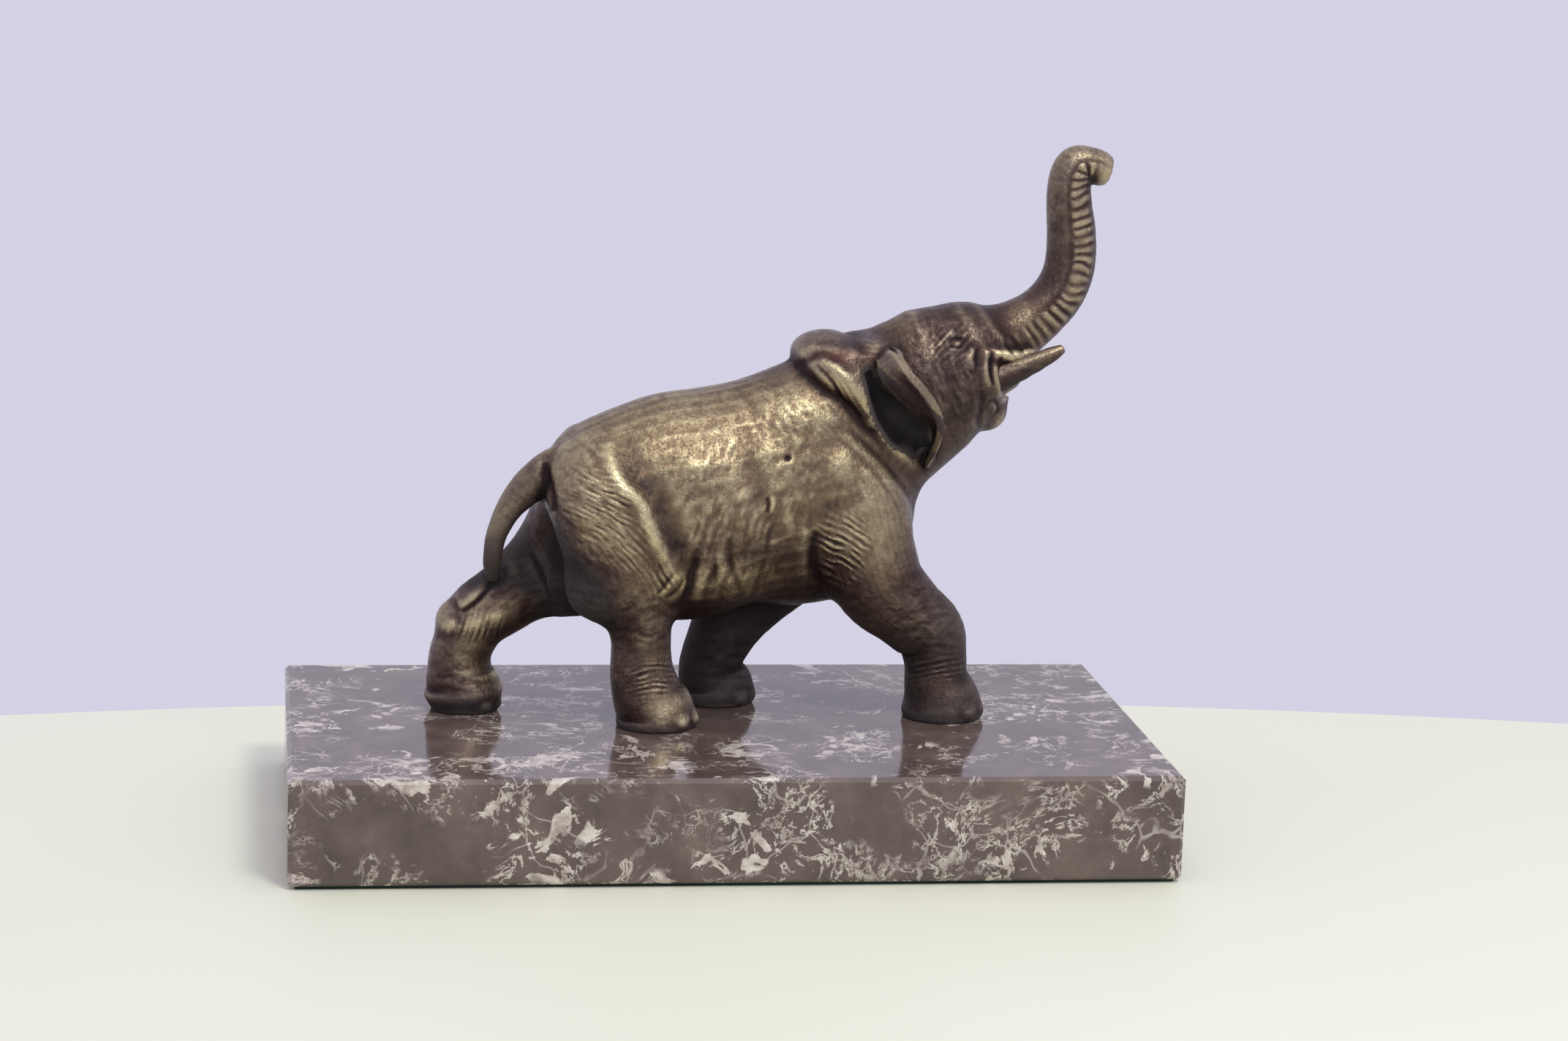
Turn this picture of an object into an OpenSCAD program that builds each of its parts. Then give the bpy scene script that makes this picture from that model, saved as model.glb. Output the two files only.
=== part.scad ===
// Bronze elephant statuette, trunk raised, bolted through a polished marble base.
// Millimetres, +Z up, +X along the base towards the elephant's head, origin at the
// centre of the felt's underside. The elephant's right side faces -Y.

/* [Base] */
// Length of the marble base
base_length = 250; // [240:1:300]
// Depth of the marble base
base_depth = 140; // [130:1:180]
// Thickness of the marble base
base_height = 30; // [25:1:40]
// Width of the polished chamfer round every edge of the base
base_chamfer = 1.2; // [0.5:0.1:2]
// Thickness of the felt under the base
felt_thickness = 1; // [0.5:0.1:2]
// How far the felt stays inside the edge of the base
felt_inset = 2; // [1:0.5:4]

/* [Fasteners] */
// Diameter of the stud threads (M5)
stud_d = 5; // [5:1:5]
// Clearance hole for a stud through the marble
stud_clear_d = 6; // [5.5:0.1:7]
// How far each stud is screwed up into its foot
stud_reach = 13; // [10:1:14]
// Diameter of the counterbore that hides each nut
counterbore_d = 17; // [16:0.5:20]
// Depth of the counterbore from the underside of the marble
counterbore_depth = 10; // [8:1:14]
// Nut width across flats
nut_flats = 8; // [8:1:8]
// Nut thickness
nut_height = 4; // [4:0.5:5]
// Washer outside diameter
washer_d = 15; // [10:1:15]
// Washer thickness
washer_height = 1.2; // [1:0.1:1.6]

/* [Pose] */
// Heading of the elephant, turned from the base's long edge
heading = 7; // [0:1:10]
// How far the elephant stands behind the middle of the base
stand_back = 8; // [0:1:12]

/* [Castings] */
// Wall thickness of the hollow torso
wall = 4; // [3:0.5:6]
// Diameter of the spigot that carries the head casting
spigot_d = 17; // [14:0.5:18]
// Length of that spigot
spigot_length = 9; // [6:1:10]
// Diameter of the core vent under the belly
vent_d = 5; // [4:0.5:6]
// Diameter of the plug that closes the core pin's hole in the flank
core_plug_d = 2; // [1.5:0.5:3]

/* [Hidden] */
SIDES = ["right", "left"];
FEET = ["right_fore", "left_fore", "right_hind", "left_hind"];

base_top = felt_thickness + base_height;
smooth_fn = 96;
blend_fn = 24;
overlap = 1;
// Larger than the elephant in every direction.
far = 300;

// Places of the feet in the elephant's own frame, in the order of FEET.
FOOT_XY = [[65.5, -14], [3, 14], [-21, -14], [-73, 14]];

// The neck joint: a plane through this point, leaning forward by this angle.
neck_joint = [49.5, 0, 88];
neck_lean = 26;
// How far the neck bore runs on past the spigot, into the cavity.
bore_run_out = 6;
// Core vent under the belly: its place, and how high it reaches.
vent_at = [-8, 0, 40];
// Core pin's hole in the right flank.
core_pin_at = [13.5, 0, 81];
core_plug_inner = 22;
// How far each stud stands below its washer.
stud_tail = 7;
washer_z = counterbore_depth - base_height - washer_height;
// The torso's stations between these two are hollow.
first_hollow = 3;
last_hollow = 10;

// ---------------------------------------------------------------- swept limbs
// A limb is a list of stations [x, y, z, half width, half depth, egg]. Each section is
// an oval square to the limb's line. Egg above 0 makes the upper half narrower.

function unit(v) = v / norm(v);
function egg_of(s) = len(s) > 5 ? s[5] : 0;
function padded(s) = [s[0], s[1], s[2], s[3], s[4], egg_of(s)];

function blend_point(a, b, c, d, t) =
    0.5 * (2 * b + (c - a) * t + (2 * a - 5 * b + 4 * c - d) * t * t
        + (3 * b - a - 3 * c + d) * t * t * t);

// The rows s with steps - 1 more rows blended in between each pair.
function splined(s, steps) =
    let (n = len(s))
    concat(
        [for (i = [0 : n - 2], k = [0 : steps - 1])
            blend_point(s[max(i - 1, 0)], s[i], s[i + 1], s[min(i + 2, n - 1)], k / steps)],
        [s[n - 1]]
    );

function place_of(s) = [s[0], s[1], s[2]];
function heading_at(s, i) =
    unit(place_of(s[min(i + 1, len(s) - 1)]) - place_of(s[max(i - 1, 0)]));
function side_at(t) = unit([0, 1, 0] - t * t[1]);

function oval(s, t, sides) =
    let (across = side_at(t), along = cross(t, across))
    [for (j = [0 : sides - 1])
        let (a = 360 * j / sides)
        place_of(s) + across * s[3] * cos(a) * (1 + s[5] * sin(a)) - along * s[4] * sin(a)];

module loft(rings) {
    n = len(rings);
    m = len(rings[0]);
    points = [for (r = rings) each r];
    walls = [for (i = [0 : n - 2], j = [0 : m - 1])
        let (k = (j + 1) % m)
        each [
            [i * m + j, (i + 1) * m + k, (i + 1) * m + j],
            [i * m + j, i * m + k, (i + 1) * m + k]
        ]];
    first = [for (j = [m - 1 : -1 : 0]) j];
    last = [for (j = [0 : m - 1]) (n - 1) * m + j];
    polyhedron(points, concat(walls, [first, last]));
}

// An upright limb keeps every section vertical, square to the X axis.
module limb(stations, steps = 3, sides = 20, upright = false) {
    s = splined([for (st = stations) padded(st)], steps);
    loft([for (i = [0 : len(s) - 1])
        oval(s[i], upright ? [1, 0, 0] : heading_at(s, i), sides)]);
}

module ball(at, r) {
    translate(at) sphere(r, $fn = blend_fn);
}

// ---------------------------------------------------------------- the animal's lines
TORSO = [
    [-56.5, 0, 62.5, 3, 5],
    [-54, 0, 62, 9.5, 12.5],
    [-50, 0, 60.5, 15, 18.5],
    [-45, 0, 57.5, 19, 26.3],
    [-38, 0, 58.5, 22, 30],
    [-20, 0, 62, 25, 33, 0.08],
    [-5, 0, 63, 26.5, 34, 0.1],
    [10, 0, 66.5, 26, 33, 0.12],
    [25, 0, 69.3, 23.5, 33.7, 0.14],
    [37, 0, 70, 19.5, 31.5, 0.14],
    [45, 0, 68, 15.5, 25, 0.1],
    [53, 0, 66, 12, 18],
    [58, 0, 64, 7, 10]
];
BRISKET = [
    [12, 0, 48, 8, 10],
    [22, 2, 45.5, 13, 12.5],
    [32, 2, 46.5, 14, 13],
    [42, 0, 51, 12, 12],
    [51, 0, 57, 8, 8]
];
NECK = [
    [18, 0, 81, 15, 17],
    [30, 0, 87, 15.5, 18.5],
    [42, 0, 92, 13, 19],
    [52, 0, 96, 13, 20],
    [60, 0, 98, 13, 19]
];
THROAT = [
    [48, 0, 74, 13, 14],
    [60, 0, 82, 13, 12],
    [70, 0, 87.6, 11.5, 10],
    [77, 0, 89.5, 8.5, 6.8],
    [82.5, 0, 88.6, 5.5, 5],
    [86, 0, 89, 2.5, 2.8]
];
SKULL = [
    [48, 0, 99, 12, 13],
    [53, 0, 98, 15, 18],
    [60, 0, 98.5, 17.5, 20.5],
    [68, 0, 101, 17, 20],
    [76, 0, 105, 14.5, 17.2],
    [82, 0, 109, 11.8, 13],
    [89.5, 0, 113.2, 9, 9.4],
    [97, 0, 118.5, 7.8, 7.9],
    [102.6, 0, 125, 7.4, 7.6],
    [105.2, 0, 133, 7.2, 7.5],
    [105.2, 0, 142, 7, 7.3],
    [104.2, 0, 150, 6.6, 6.8],
    [104, 0, 157, 6.2, 6.4],
    [105.8, 0, 161.6, 5.8, 6.2],
    [110, 0, 162.3, 5.4, 5.2],
    [113.8, 0, 161.6, 4.6, 4.4],
    [115.4, 0, 161, 2.6, 2.6]
];
RIGHT_HIND = [
    [-40, -10, 72, 11, 13],
    [-36.5, -12, 60, 12, 14],
    [-32, -13.5, 50, 11.5, 14],
    [-28, -14, 42, 10.5, 13.2],
    [-25.6, -14, 34, 9.5, 10],
    [-25.4, -14, 26, 8.8, 8.9],
    [-25, -14, 17, 9, 9.4],
    [-23.3, -14, 10, 10, 10.4],
    [-21, -14, 5, 11, 11.4],
    [-20.5, -14, 2, 11, 11.2],
    [-20.5, -14, 0, 10, 10.2]
];
LEFT_HIND = [
    [-34.3, 10.2, 68.3, 11, 14],
    [-40, 12.5, 55, 11.5, 12.5],
    [-47.5, 13.5, 45, 11, 11.8],
    [-58.5, 14, 35, 9.8, 10.4],
    [-68.3, 14, 27.5, 9, 10],
    [-72.6, 14, 19, 8.6, 9],
    [-73.4, 14, 12, 9, 9.2],
    [-72.4, 14, 6, 10.8, 11],
    [-72, 14, 3, 11, 11.3],
    [-72, 14, 0, 9.5, 9.6]
];
RIGHT_FORE = [
    [38, -11, 72, 10.5, 15],
    [39.5, -13, 60, 11.5, 14.5],
    [42.5, -14.5, 50, 11.5, 13],
    [47, -14.5, 40, 11, 12.8],
    [54.5, -14.5, 32, 10, 11.6],
    [61.5, -14.3, 25.5, 9.4, 10.8],
    [63.7, -14, 18, 9, 9.6],
    [64.2, -14, 12, 9.3, 9.6],
    [65.5, -14, 7, 10.6, 11],
    [66.2, -14, 3, 11.2, 11.8],
    [66.2, -14, 0, 10.2, 10.8]
];
LEFT_FORE = [
    [34, 11, 68, 10.5, 15],
    [27, 13, 55, 11.5, 14.5],
    [19, 13.8, 43, 11, 13.5],
    [12.5, 14, 32, 10, 12.3],
    [7, 14, 23, 9.3, 10.8],
    [3.4, 14, 15, 9, 9.6],
    [2.2, 14, 10, 9.2, 9.4],
    [3.5, 14, 5.5, 11, 11.4],
    [3.7, 14, 2.5, 11.2, 11.6],
    [3.7, 14, 0, 10, 10.4]
];
TAIL = [
    [-44, 0, 75.5, 5.5, 6.5],
    [-50, 0, 73, 5.6, 6.4],
    [-56.3, 0.3, 68.6, 4.8, 5.4],
    [-61.6, 0.9, 62.4, 3.6, 4.1],
    [-65, 1.8, 55, 2.8, 3.1],
    [-66, 3.2, 48.5, 2.6, 2.8],
    [-65.6, 5, 43, 2.6, 2.6],
    [-64.6, 6.4, 38.5, 1.4, 1.4]
];
TUSK = [
    [73, 11, 98.2, 3.8, 3.8],
    [79, 12, 100.4, 4, 4.2],
    [85, 13, 102.9, 3.5, 3.7],
    [91, 13.8, 105.6, 2.7, 2.9],
    [96, 14.2, 108, 1.9, 2],
    [99, 14.2, 109.7, 0.9, 0.9]
];
SHEATH = [
    [62, 7, 100, 8, 9],
    [70, 9.5, 101, 7.2, 8],
    [76, 11, 101, 6, 6.4],
    [80.5, 12, 101.3, 5, 5.2]
];
// Fold of skin that arches over the nape and runs down each side of the neck, as
// [centre, half width along the body, half thickness].
NAPE_FOLD = [
    [[31, 0, 107.6], 9.3, 6],
    [[32, 8, 105.6], 8.6, 5.8],
    [[34, 14, 101.8], 6.5, 4.8],
    [[37, 17.5, 96], 4, 3.6],
    [[41.5, 18.5, 88.5], 2.6, 2.6],
    [[47, 17, 80.5], 2.2, 2.2],
    [[52.5, 13.5, 73.5], 2, 2],
    [[56, 8, 67], 1.2, 1.2]
];
// Flap of the ear: root point on the head, rim point out at the side, half thickness.
EAR_FLAP = [
    [[48, 10, 112], [48.5, 13, 111], 1.4],
    [[49, 12, 107], [49.5, 19.5, 108], 1.6],
    [[50, 13, 101], [50.5, 25, 103], 1.7],
    [[52, 13.5, 95], [54, 28.5, 99], 1.7],
    [[54, 13.5, 89], [58, 29, 93.5], 1.7],
    [[56, 12.5, 83], [59.5, 26, 87], 1.6],
    [[57, 11, 78], [58.8, 20, 80], 1.5],
    [[57, 10, 74.5], [57, 13.5, 75.5], 1.3]
];
// How far the flap bellies forward between its root and its rim.
flap_belly = 4.5;
flap_across = 7;
rim_swell = 0.2;
EYE = [66.5, 12.3, 110.5];
brow_r = 4;
// Toes: how far in front of the stud they spring, their reach, fan angle and radius.
toe_forward = 3.5;
toe_reach = 5.5;
toe_spread = 42;
toe_r = 4.2;

// ---------------------------------------------------------------- shared solids
// Puts the elephant's own frame on top of the base.
module on_base() {
    translate([0, stand_back, base_top]) rotate([0, 0, heading]) children();
}

module both_sides() {
    for (side = [-1, 1]) scale([1, side, 1]) children();
}

module at_neck_joint() {
    translate(neck_joint) rotate([0, -neck_lean, 0]) children();
}

module behind_neck() {
    at_neck_joint() translate([-far, -far / 2, -far / 2]) cube(far);
}

module spigot(length) {
    at_neck_joint() translate([-length, 0, 0]) rotate([0, 90, 0])
        cylinder(d = spigot_d, h = length + overlap, $fn = 48);
}

module stud_holes() {
    for (p = FOOT_XY)
        translate([p[0], p[1], -overlap])
            cylinder(d = stud_d, h = stud_reach + overlap, $fn = 32);
}

module core_pin_hole() {
    translate(core_pin_at) rotate([90, 0, 0]) cylinder(d = core_plug_d, h = far, $fn = 24);
}

module torso() {
    limb(TORSO, 3, 28, upright = true);
}

module cavity() {
    limb([for (i = [first_hollow : last_hollow])
        let (s = padded(TORSO[i]))
        [s[0], s[1], s[2], s[3] - wall, s[4] - wall, s[5]]], 2, 20, upright = true);
}

module neck() {
    limb(NECK, 2, 22);
    limb(THROAT, 3, 18);
}

module toes(foot) {
    heel = [foot[0] + toe_forward, foot[1], 0];
    for (a = [-toe_spread, 0, toe_spread]) hull() {
        ball(heel + [0, 0, 2 * toe_r], toe_r);
        ball(heel + [toe_reach * cos(a), toe_reach * sin(a), toe_r], toe_r);
    }
}

module fold_bead(row) {
    translate(row[0]) scale([row[1], row[2], row[2]]) sphere(1, $fn = 16);
}

module nape_fold() {
    for (i = [0 : len(NAPE_FOLD) - 2]) hull() {
        fold_bead(NAPE_FOLD[i]);
        fold_bead(NAPE_FOLD[i + 1]);
    }
}

// Torso, neck and legs in one skin, before the neck joint is cut.
module body_skin() {
    torso();
    neck();
    limb(BRISKET, 2, 18);
    for (leg = [RIGHT_FORE, LEFT_FORE, RIGHT_HIND, LEFT_HIND]) limb(leg);
    for (foot = FOOT_XY) toes(foot);
    both_sides() nape_fold();
}

module cheek() {
    hull() {
        ball([60, 10, 92], 8);
        ball([72, 6.5, 92], 5.5);
        ball([62, 7, 82], 6);
    }
}

module crown_dome() {
    hull() {
        ball([56, 6, 108.4], 8.3);
        ball([64, 7, 111], 7.2);
    }
}

module head_skin() {
    limb(SKULL);
    both_sides() {
        limb(SHEATH, 2, 14);
        cheek();
        crown_dome();
        ball(EYE, brow_r);
    }
}

function flap_point(row, u, lift) =
    let (root = [row[0], row[1], row[2]], rim = [row[3], row[4], row[5]])
    root + (rim - root) * u + [flap_belly * sin(180 * u) + lift, 0, 0];

module ear_flap() {
    rows = splined([for (r = EAR_FLAP) [each r[0], each r[1], r[2]]], 2);
    loft([for (row = rows) concat(
        [for (k = [0 : flap_across]) flap_point(row, k / flap_across, row[6])],
        [for (k = [flap_across : -1 : 0]) flap_point(row, k / flap_across, -row[6])]
    )]);
}

module rim_bead(row) {
    translate(row[1]) sphere(row[2] + rim_swell, $fn = 12);
}

module ear_skin() {
    ear_flap();
    for (i = [0 : len(EAR_FLAP) - 2]) hull() {
        rim_bead(EAR_FLAP[i]);
        rim_bead(EAR_FLAP[i + 1]);
    }
}

// ---------------------------------------------------------------- sub-parts
// Outline of a block of size a by b with its corners cut by the chamfer.
function cut_corners(a, b, c) = [
    [-a / 2 + c, -b / 2], [a / 2 - c, -b / 2], [a / 2, -b / 2 + c], [a / 2, b / 2 - c],
    [a / 2 - c, b / 2], [-a / 2 + c, b / 2], [-a / 2, b / 2 - c], [-a / 2, -b / 2 + c]
];

module bar(a, b, length) {
    translate([0, 0, -length / 2])
        linear_extrude(length) polygon(cut_corners(a, b, base_chamfer));
}

module marble_base() {
    color("dimgray") difference() {
        translate([0, 0, felt_thickness + base_height / 2]) intersection() {
            bar(base_length, base_depth, base_height);
            rotate([90, 0, 0]) bar(base_length, base_height, base_depth);
            rotate([90, 0, 90]) bar(base_depth, base_height, base_length);
        }
        on_base() for (p = FOOT_XY) translate([p[0], p[1], -base_height - overlap]) {
            cylinder(d = stud_clear_d, h = base_height + 2 * overlap, $fn = smooth_fn);
            cylinder(d = counterbore_d, h = counterbore_depth + overlap, $fn = smooth_fn);
        }
    }
}

module felt_pad() {
    color("darkgreen") difference() {
        linear_extrude(felt_thickness)
            square([base_length - 2 * felt_inset, base_depth - 2 * felt_inset], center = true);
        on_base() for (p = FOOT_XY)
            translate([p[0], p[1], -base_top - overlap])
                cylinder(d = counterbore_d, h = felt_thickness + 2 * overlap, $fn = smooth_fn);
    }
}

module body_casting() {
    color("darkgoldenrod") on_base() difference() {
        intersection() {
            body_skin();
            behind_neck();
        }
        cavity();
        spigot(spigot_length + bore_run_out);
        translate([vent_at[0], vent_at[1], 0]) cylinder(d = vent_d, h = vent_at[2], $fn = 24);
        core_pin_hole();
        stud_holes();
        translate([-far / 2, -far / 2, -far]) cube(far);
    }
}

module head_casting() {
    color("goldenrod") on_base() difference() {
        union() {
            difference() {
                union() {
                    head_skin();
                    neck();
                    torso();
                }
                behind_neck();
            }
            spigot(spigot_length);
        }
        both_sides() limb(TUSK, 2, 12);
    }
}

module tail() {
    color("peru") on_base() difference() {
        limb(TAIL, 3, 12);
        body_skin();
    }
}

module core_plug() {
    color("saddlebrown") on_base() intersection() {
        core_pin_hole();
        torso();
        translate([0, -far - core_plug_inner, 0]) cube(far);
    }
}

module ear(side) {
    color("sienna") on_base() difference() {
        scale([1, side, 1]) ear_skin();
        head_skin();
        neck();
        torso();
    }
}

module tusk(side) {
    color("khaki") on_base() scale([1, side, 1]) limb(TUSK, 2, 12);
}

module stud(at) {
    below = base_height - counterbore_depth + stud_tail;
    color("silver") on_base() translate([at[0], at[1], -below])
        cylinder(d = stud_d, h = below + stud_reach, $fn = smooth_fn);
}

module washer(at) {
    color("gainsboro") on_base() translate([at[0], at[1], washer_z]) difference() {
        cylinder(d = washer_d, h = washer_height, $fn = smooth_fn);
        translate([0, 0, -overlap])
            cylinder(d = stud_d, h = washer_height + 2 * overlap, $fn = smooth_fn);
    }
}

module nut(at) {
    color("lightgray") on_base() translate([at[0], at[1], washer_z - nut_height]) difference() {
        cylinder(d = nut_flats / cos(30), h = nut_height, $fn = 6);
        translate([0, 0, -overlap])
            cylinder(d = stud_d, h = nut_height + 2 * overlap, $fn = smooth_fn);
    }
}

marble_base();
felt_pad();
body_casting();
head_casting();
tail();
core_plug();
for (i = [0 : len(SIDES) - 1]) {
    side = 2 * i - 1;
    ear(side);
    tusk(side);
}
for (i = [0 : len(FEET) - 1]) {
    stud(FOOT_XY[i]);
    washer(FOOT_XY[i]);
    nut(FOOT_XY[i]);
}
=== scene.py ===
"""Looks of the bronze elephant on its marble base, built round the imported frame.

The elephant is modelled in its own frame, in millimetres: x forward, y to its left, z up,
with its soles at z = 0. Limbs are swept ovals, joined softly in a block of distances, and
the skin that comes out is then worked with folds, rings and wrinkles.
"""

import copy
import math

import bpy
import numpy as np
import openvdb as vdb
from mathutils import Matrix, Vector


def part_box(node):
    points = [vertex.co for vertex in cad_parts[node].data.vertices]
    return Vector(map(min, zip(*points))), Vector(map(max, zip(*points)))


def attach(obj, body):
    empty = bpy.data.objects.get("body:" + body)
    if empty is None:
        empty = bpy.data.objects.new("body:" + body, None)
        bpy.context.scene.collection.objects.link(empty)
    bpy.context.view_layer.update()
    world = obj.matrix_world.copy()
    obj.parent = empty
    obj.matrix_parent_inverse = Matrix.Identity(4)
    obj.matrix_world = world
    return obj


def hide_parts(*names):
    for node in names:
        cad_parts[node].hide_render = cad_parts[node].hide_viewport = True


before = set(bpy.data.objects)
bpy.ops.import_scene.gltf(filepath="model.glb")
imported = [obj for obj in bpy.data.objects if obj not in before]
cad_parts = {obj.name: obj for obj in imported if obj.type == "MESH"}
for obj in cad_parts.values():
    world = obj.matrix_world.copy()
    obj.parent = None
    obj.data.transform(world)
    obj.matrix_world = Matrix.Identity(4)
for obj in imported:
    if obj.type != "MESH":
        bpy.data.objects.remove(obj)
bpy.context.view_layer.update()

# ---------------- places and units
MM = 0.001
BASE_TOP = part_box("marble_base")[1].z
HEADING = math.radians(7)
STAND_BACK = 0.008
TO_ROW = (
    Matrix.Translation((0, STAND_BACK, BASE_TOP))
    @ Matrix.Rotation(HEADING, 4, "Z")
    @ Matrix.Scale(MM, 4)
)

VOXEL = 0.5
# Distances are true this far from a surface, so no soft joint is wider.
BAND = 9.0
# Corners of the block that holds the elephant.
CLAY_LOW = np.array([-93.0, -38.0, -3.0])
CLAY_HIGH = np.array([123.0, 38.0, 174.0])
# Points round a limb, and steps from one station to the next.
SIDES = 40
STEPS = 5

# ---------------- the elephant's limbs
# Stations along a limb: x, y, z, half width and half depth. The torso's last number is
# its egg, which narrows the top.
TORSO = [
    (-53, 0, 69, 3, 4, 0), (-51.5, 0, 68, 8, 9, 0), (-49, 0, 66, 12.5, 14, 0),
    (-45, 0, 62.5, 18, 21.5, 0), (-38, 0, 60, 21.6, 28.5, 0), (-20, 0, 62, 24.6, 33, 0.08),
    (-5, 0, 63, 26, 34, 0.1), (10, 0, 66.5, 25.4, 33, 0.12), (25, 0, 69.3, 23, 33.7, 0.14),
    (37, 0, 70, 19.5, 31.5, 0.14), (45, 0, 68, 15.5, 25, 0.1), (53, 0, 66, 12, 18, 0),
    (58, 0, 64, 7, 10, 0),
]
BRISKET = [
    (12, 0, 48, 8, 10), (22, 2, 45.5, 13, 12.5), (32, 2, 46.5, 14, 13), (42, 0, 51, 12, 12),
    (51, 0, 57, 8, 8),
]
NECK = [
    (18, 0, 81, 15, 17), (30, 0, 87, 15.5, 18.5), (42, 0, 92, 13.6, 18.6),
    (52, 0, 96, 14.6, 19.4), (60, 0, 98, 15, 19),
]
THROAT = [
    (48, 0, 74, 13, 14), (60, 0, 82, 13, 12), (70, 0, 87.6, 11.5, 10), (77, 0, 89.5, 8.5, 6.8),
    (82.5, 0, 88.6, 5.5, 5), (86, 0, 89, 2.5, 2.8),
]
SKULL = [
    (48, 0, 99, 12, 13), (53, 0, 98, 14.8, 17), (60, 0, 98.5, 16.8, 19.6),
    (68, 0, 101, 16.6, 19.4), (76, 0, 105, 14.5, 17.2), (82, 0, 109, 11.8, 13),
]
TRUNK = [
    (76, 0, 106.5, 13, 14.5), (82, 0, 109, 11.4, 12.6), (89.5, 0, 113.2, 9, 9.4),
    (97, 0, 118.5, 7.8, 7.9), (102.6, 0, 125, 7.4, 7.6), (105.2, 0, 133, 7.2, 7.5),
    (105.2, 0, 142, 7, 7.3), (104.2, 0, 150, 6.6, 6.8), (104, 0, 157, 6.2, 6.4),
    (105.8, 0, 161.6, 5.8, 6.2), (110, 0, 162.2, 5.4, 5.3), (113.6, 0, 161, 5, 5.2),
    (115.8, 0, 160.4, 4, 4.3),
]
SHEATH = [
    (62, 7, 100, 8, 9), (70, 9.5, 101, 7.2, 8), (76, 11, 101, 6, 6.4),
    (80.5, 12, 101.3, 5, 5.2),
]
TUSK = [
    (73, 11, 98.2, 3.8, 3.8), (79, 12, 100.4, 4, 4.2), (85, 13, 102.9, 3.5, 3.7),
    (91, 13.8, 105.6, 2.7, 2.9), (96, 14.2, 108, 2.1, 2.2), (99.4, 14.2, 109.8, 1.3, 1.3),
]
RIGHT_HIND = [
    (-39, -3, 78, 6, 8), (-37.6, -10.5, 68, 12, 13), (-34.8, -13, 61, 12.2, 14.6),
    (-31.3, -13.8, 53, 12, 15), (-28, -14, 43, 10.8, 14), (-25.8, -14, 34, 9.4, 9.8),
    (-25.4, -14, 26, 8.6, 8.7), (-25, -14, 17, 8.8, 9.2), (-23.3, -14, 10, 9.8, 10.2),
    (-21, -14, 5, 11, 11.4), (-20.5, -14, 2, 11.2, 11.6), (-20.5, -14, -2, 10.6, 11),
]
LEFT_HIND = [
    (-35, 6, 80, 7, 8), (-37.5, 11.5, 66, 12, 13.5), (-41, 12.8, 54.5, 11.6, 13.2),
    (-47, 13.5, 44, 11, 12.9), (-58, 14, 34.6, 9.9, 10.8), (-68.2, 14, 27.4, 9, 10),
    (-72.6, 14, 19, 8.6, 9), (-73.4, 14, 12, 9.3, 9.6), (-72.6, 14, 8, 10.4, 11),
    (-72.2, 14, 5.2, 11, 11.6), (-72, 14, 2, 10, 10.4), (-72, 14, -2, 8.4, 8.6),
]
RIGHT_FORE = [
    (34, -6, 84, 7, 8), (36.5, -11.5, 71, 11, 13), (39.5, -13.4, 60, 12, 14.4),
    (41.8, -14.5, 50, 11.8, 14.2), (46.2, -14.5, 40, 11, 13.4), (54.5, -14.5, 32, 10, 11.4),
    (61.5, -14.3, 25.5, 9.2, 10.6), (63.7, -14, 18, 8.8, 9.4), (64.2, -14, 12, 9.1, 9.4),
    (65.5, -14, 7, 10.6, 11), (66.2, -14, 3, 11.4, 11.9), (66.2, -14, -2, 10.6, 11.2),
]
LEFT_FORE = [
    (36, 6, 84, 7, 8), (34, 11.5, 70, 11, 13.5), (30.5, 13, 56, 11.8, 16),
    (23, 13.8, 43, 11, 15), (13.2, 14, 32, 10, 12.6), (7, 14, 23, 9.2, 10.6),
    (3.4, 14, 15, 8.8, 9.4), (2.2, 14, 10, 9, 9.3), (3.5, 14, 5.5, 11, 11.4),
    (3.7, 14, 2.5, 11.3, 11.8), (3.7, 14, -2, 10.4, 10.8),
]
TAIL = [
    (-44, 0, 75.5, 5.5, 6.5), (-50, 0, 73, 5.4, 6.2), (-56.3, 0.3, 68.6, 4.6, 5.2),
    (-61.6, 0.9, 62.4, 3.5, 4), (-65, 1.8, 55, 2.8, 3.1), (-66, 3.2, 48.5, 2.6, 2.8),
    (-65.8, 5.5, 43.5, 2.4, 2.4), (-64.4, 8.5, 39.5, 1.7, 1.7),
]
# Hollow between the buttocks, under the tail.
CLEFT = [
    (-58, -1, 62, 7, 4), (-54, -1, 56, 9, 6), (-50, -1, 49, 9, 6), (-46, 0, 41, 7, 4),
]
# Fold of the upper lip that drapes over a tusk's root.
LIP_FOLD = [
    (73, 11.2, 107.2, 2.6, 2.4), (79, 13.2, 108, 2.4, 2.1), (85, 12.6, 107.2, 2.2, 1.8),
    (91.5, 9.8, 108.2, 1.6, 1.3),
]
# Gap between the tusks and the lower lip.
MOUTH = [
    (72, 11, 95, 2, 0.8), (78, 8, 95, 3, 1.1), (85, 4, 95.4, 4, 1.2), (89, 0, 95.6, 4, 1.4),
]
# Roll of skin from the nape down one side of the neck: half width is along the body.
NAPE = [
    (31, 0, 107.6, 9.6, 6.2), (31.5, 7, 106.2, 9.2, 6), (33, 12.5, 103.2, 8, 5.2),
    (35.5, 15.5, 99.5, 5, 4), (38, 16.2, 95.5, 2.8, 2.6), (41.5, 15.6, 90, 2, 2),
]
# The neck's edge beside the ear's hollow.
NECK_EDGE = [
    (38, 16.6, 98, 1.6, 1.6), (41.5, 16.6, 91, 1.8, 1.8), (46.5, 15.4, 84, 1.6, 1.6),
    (52, 12.5, 77.5, 1.5, 1.5), (56, 8.5, 72.5, 1.3, 1.3),
]
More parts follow.
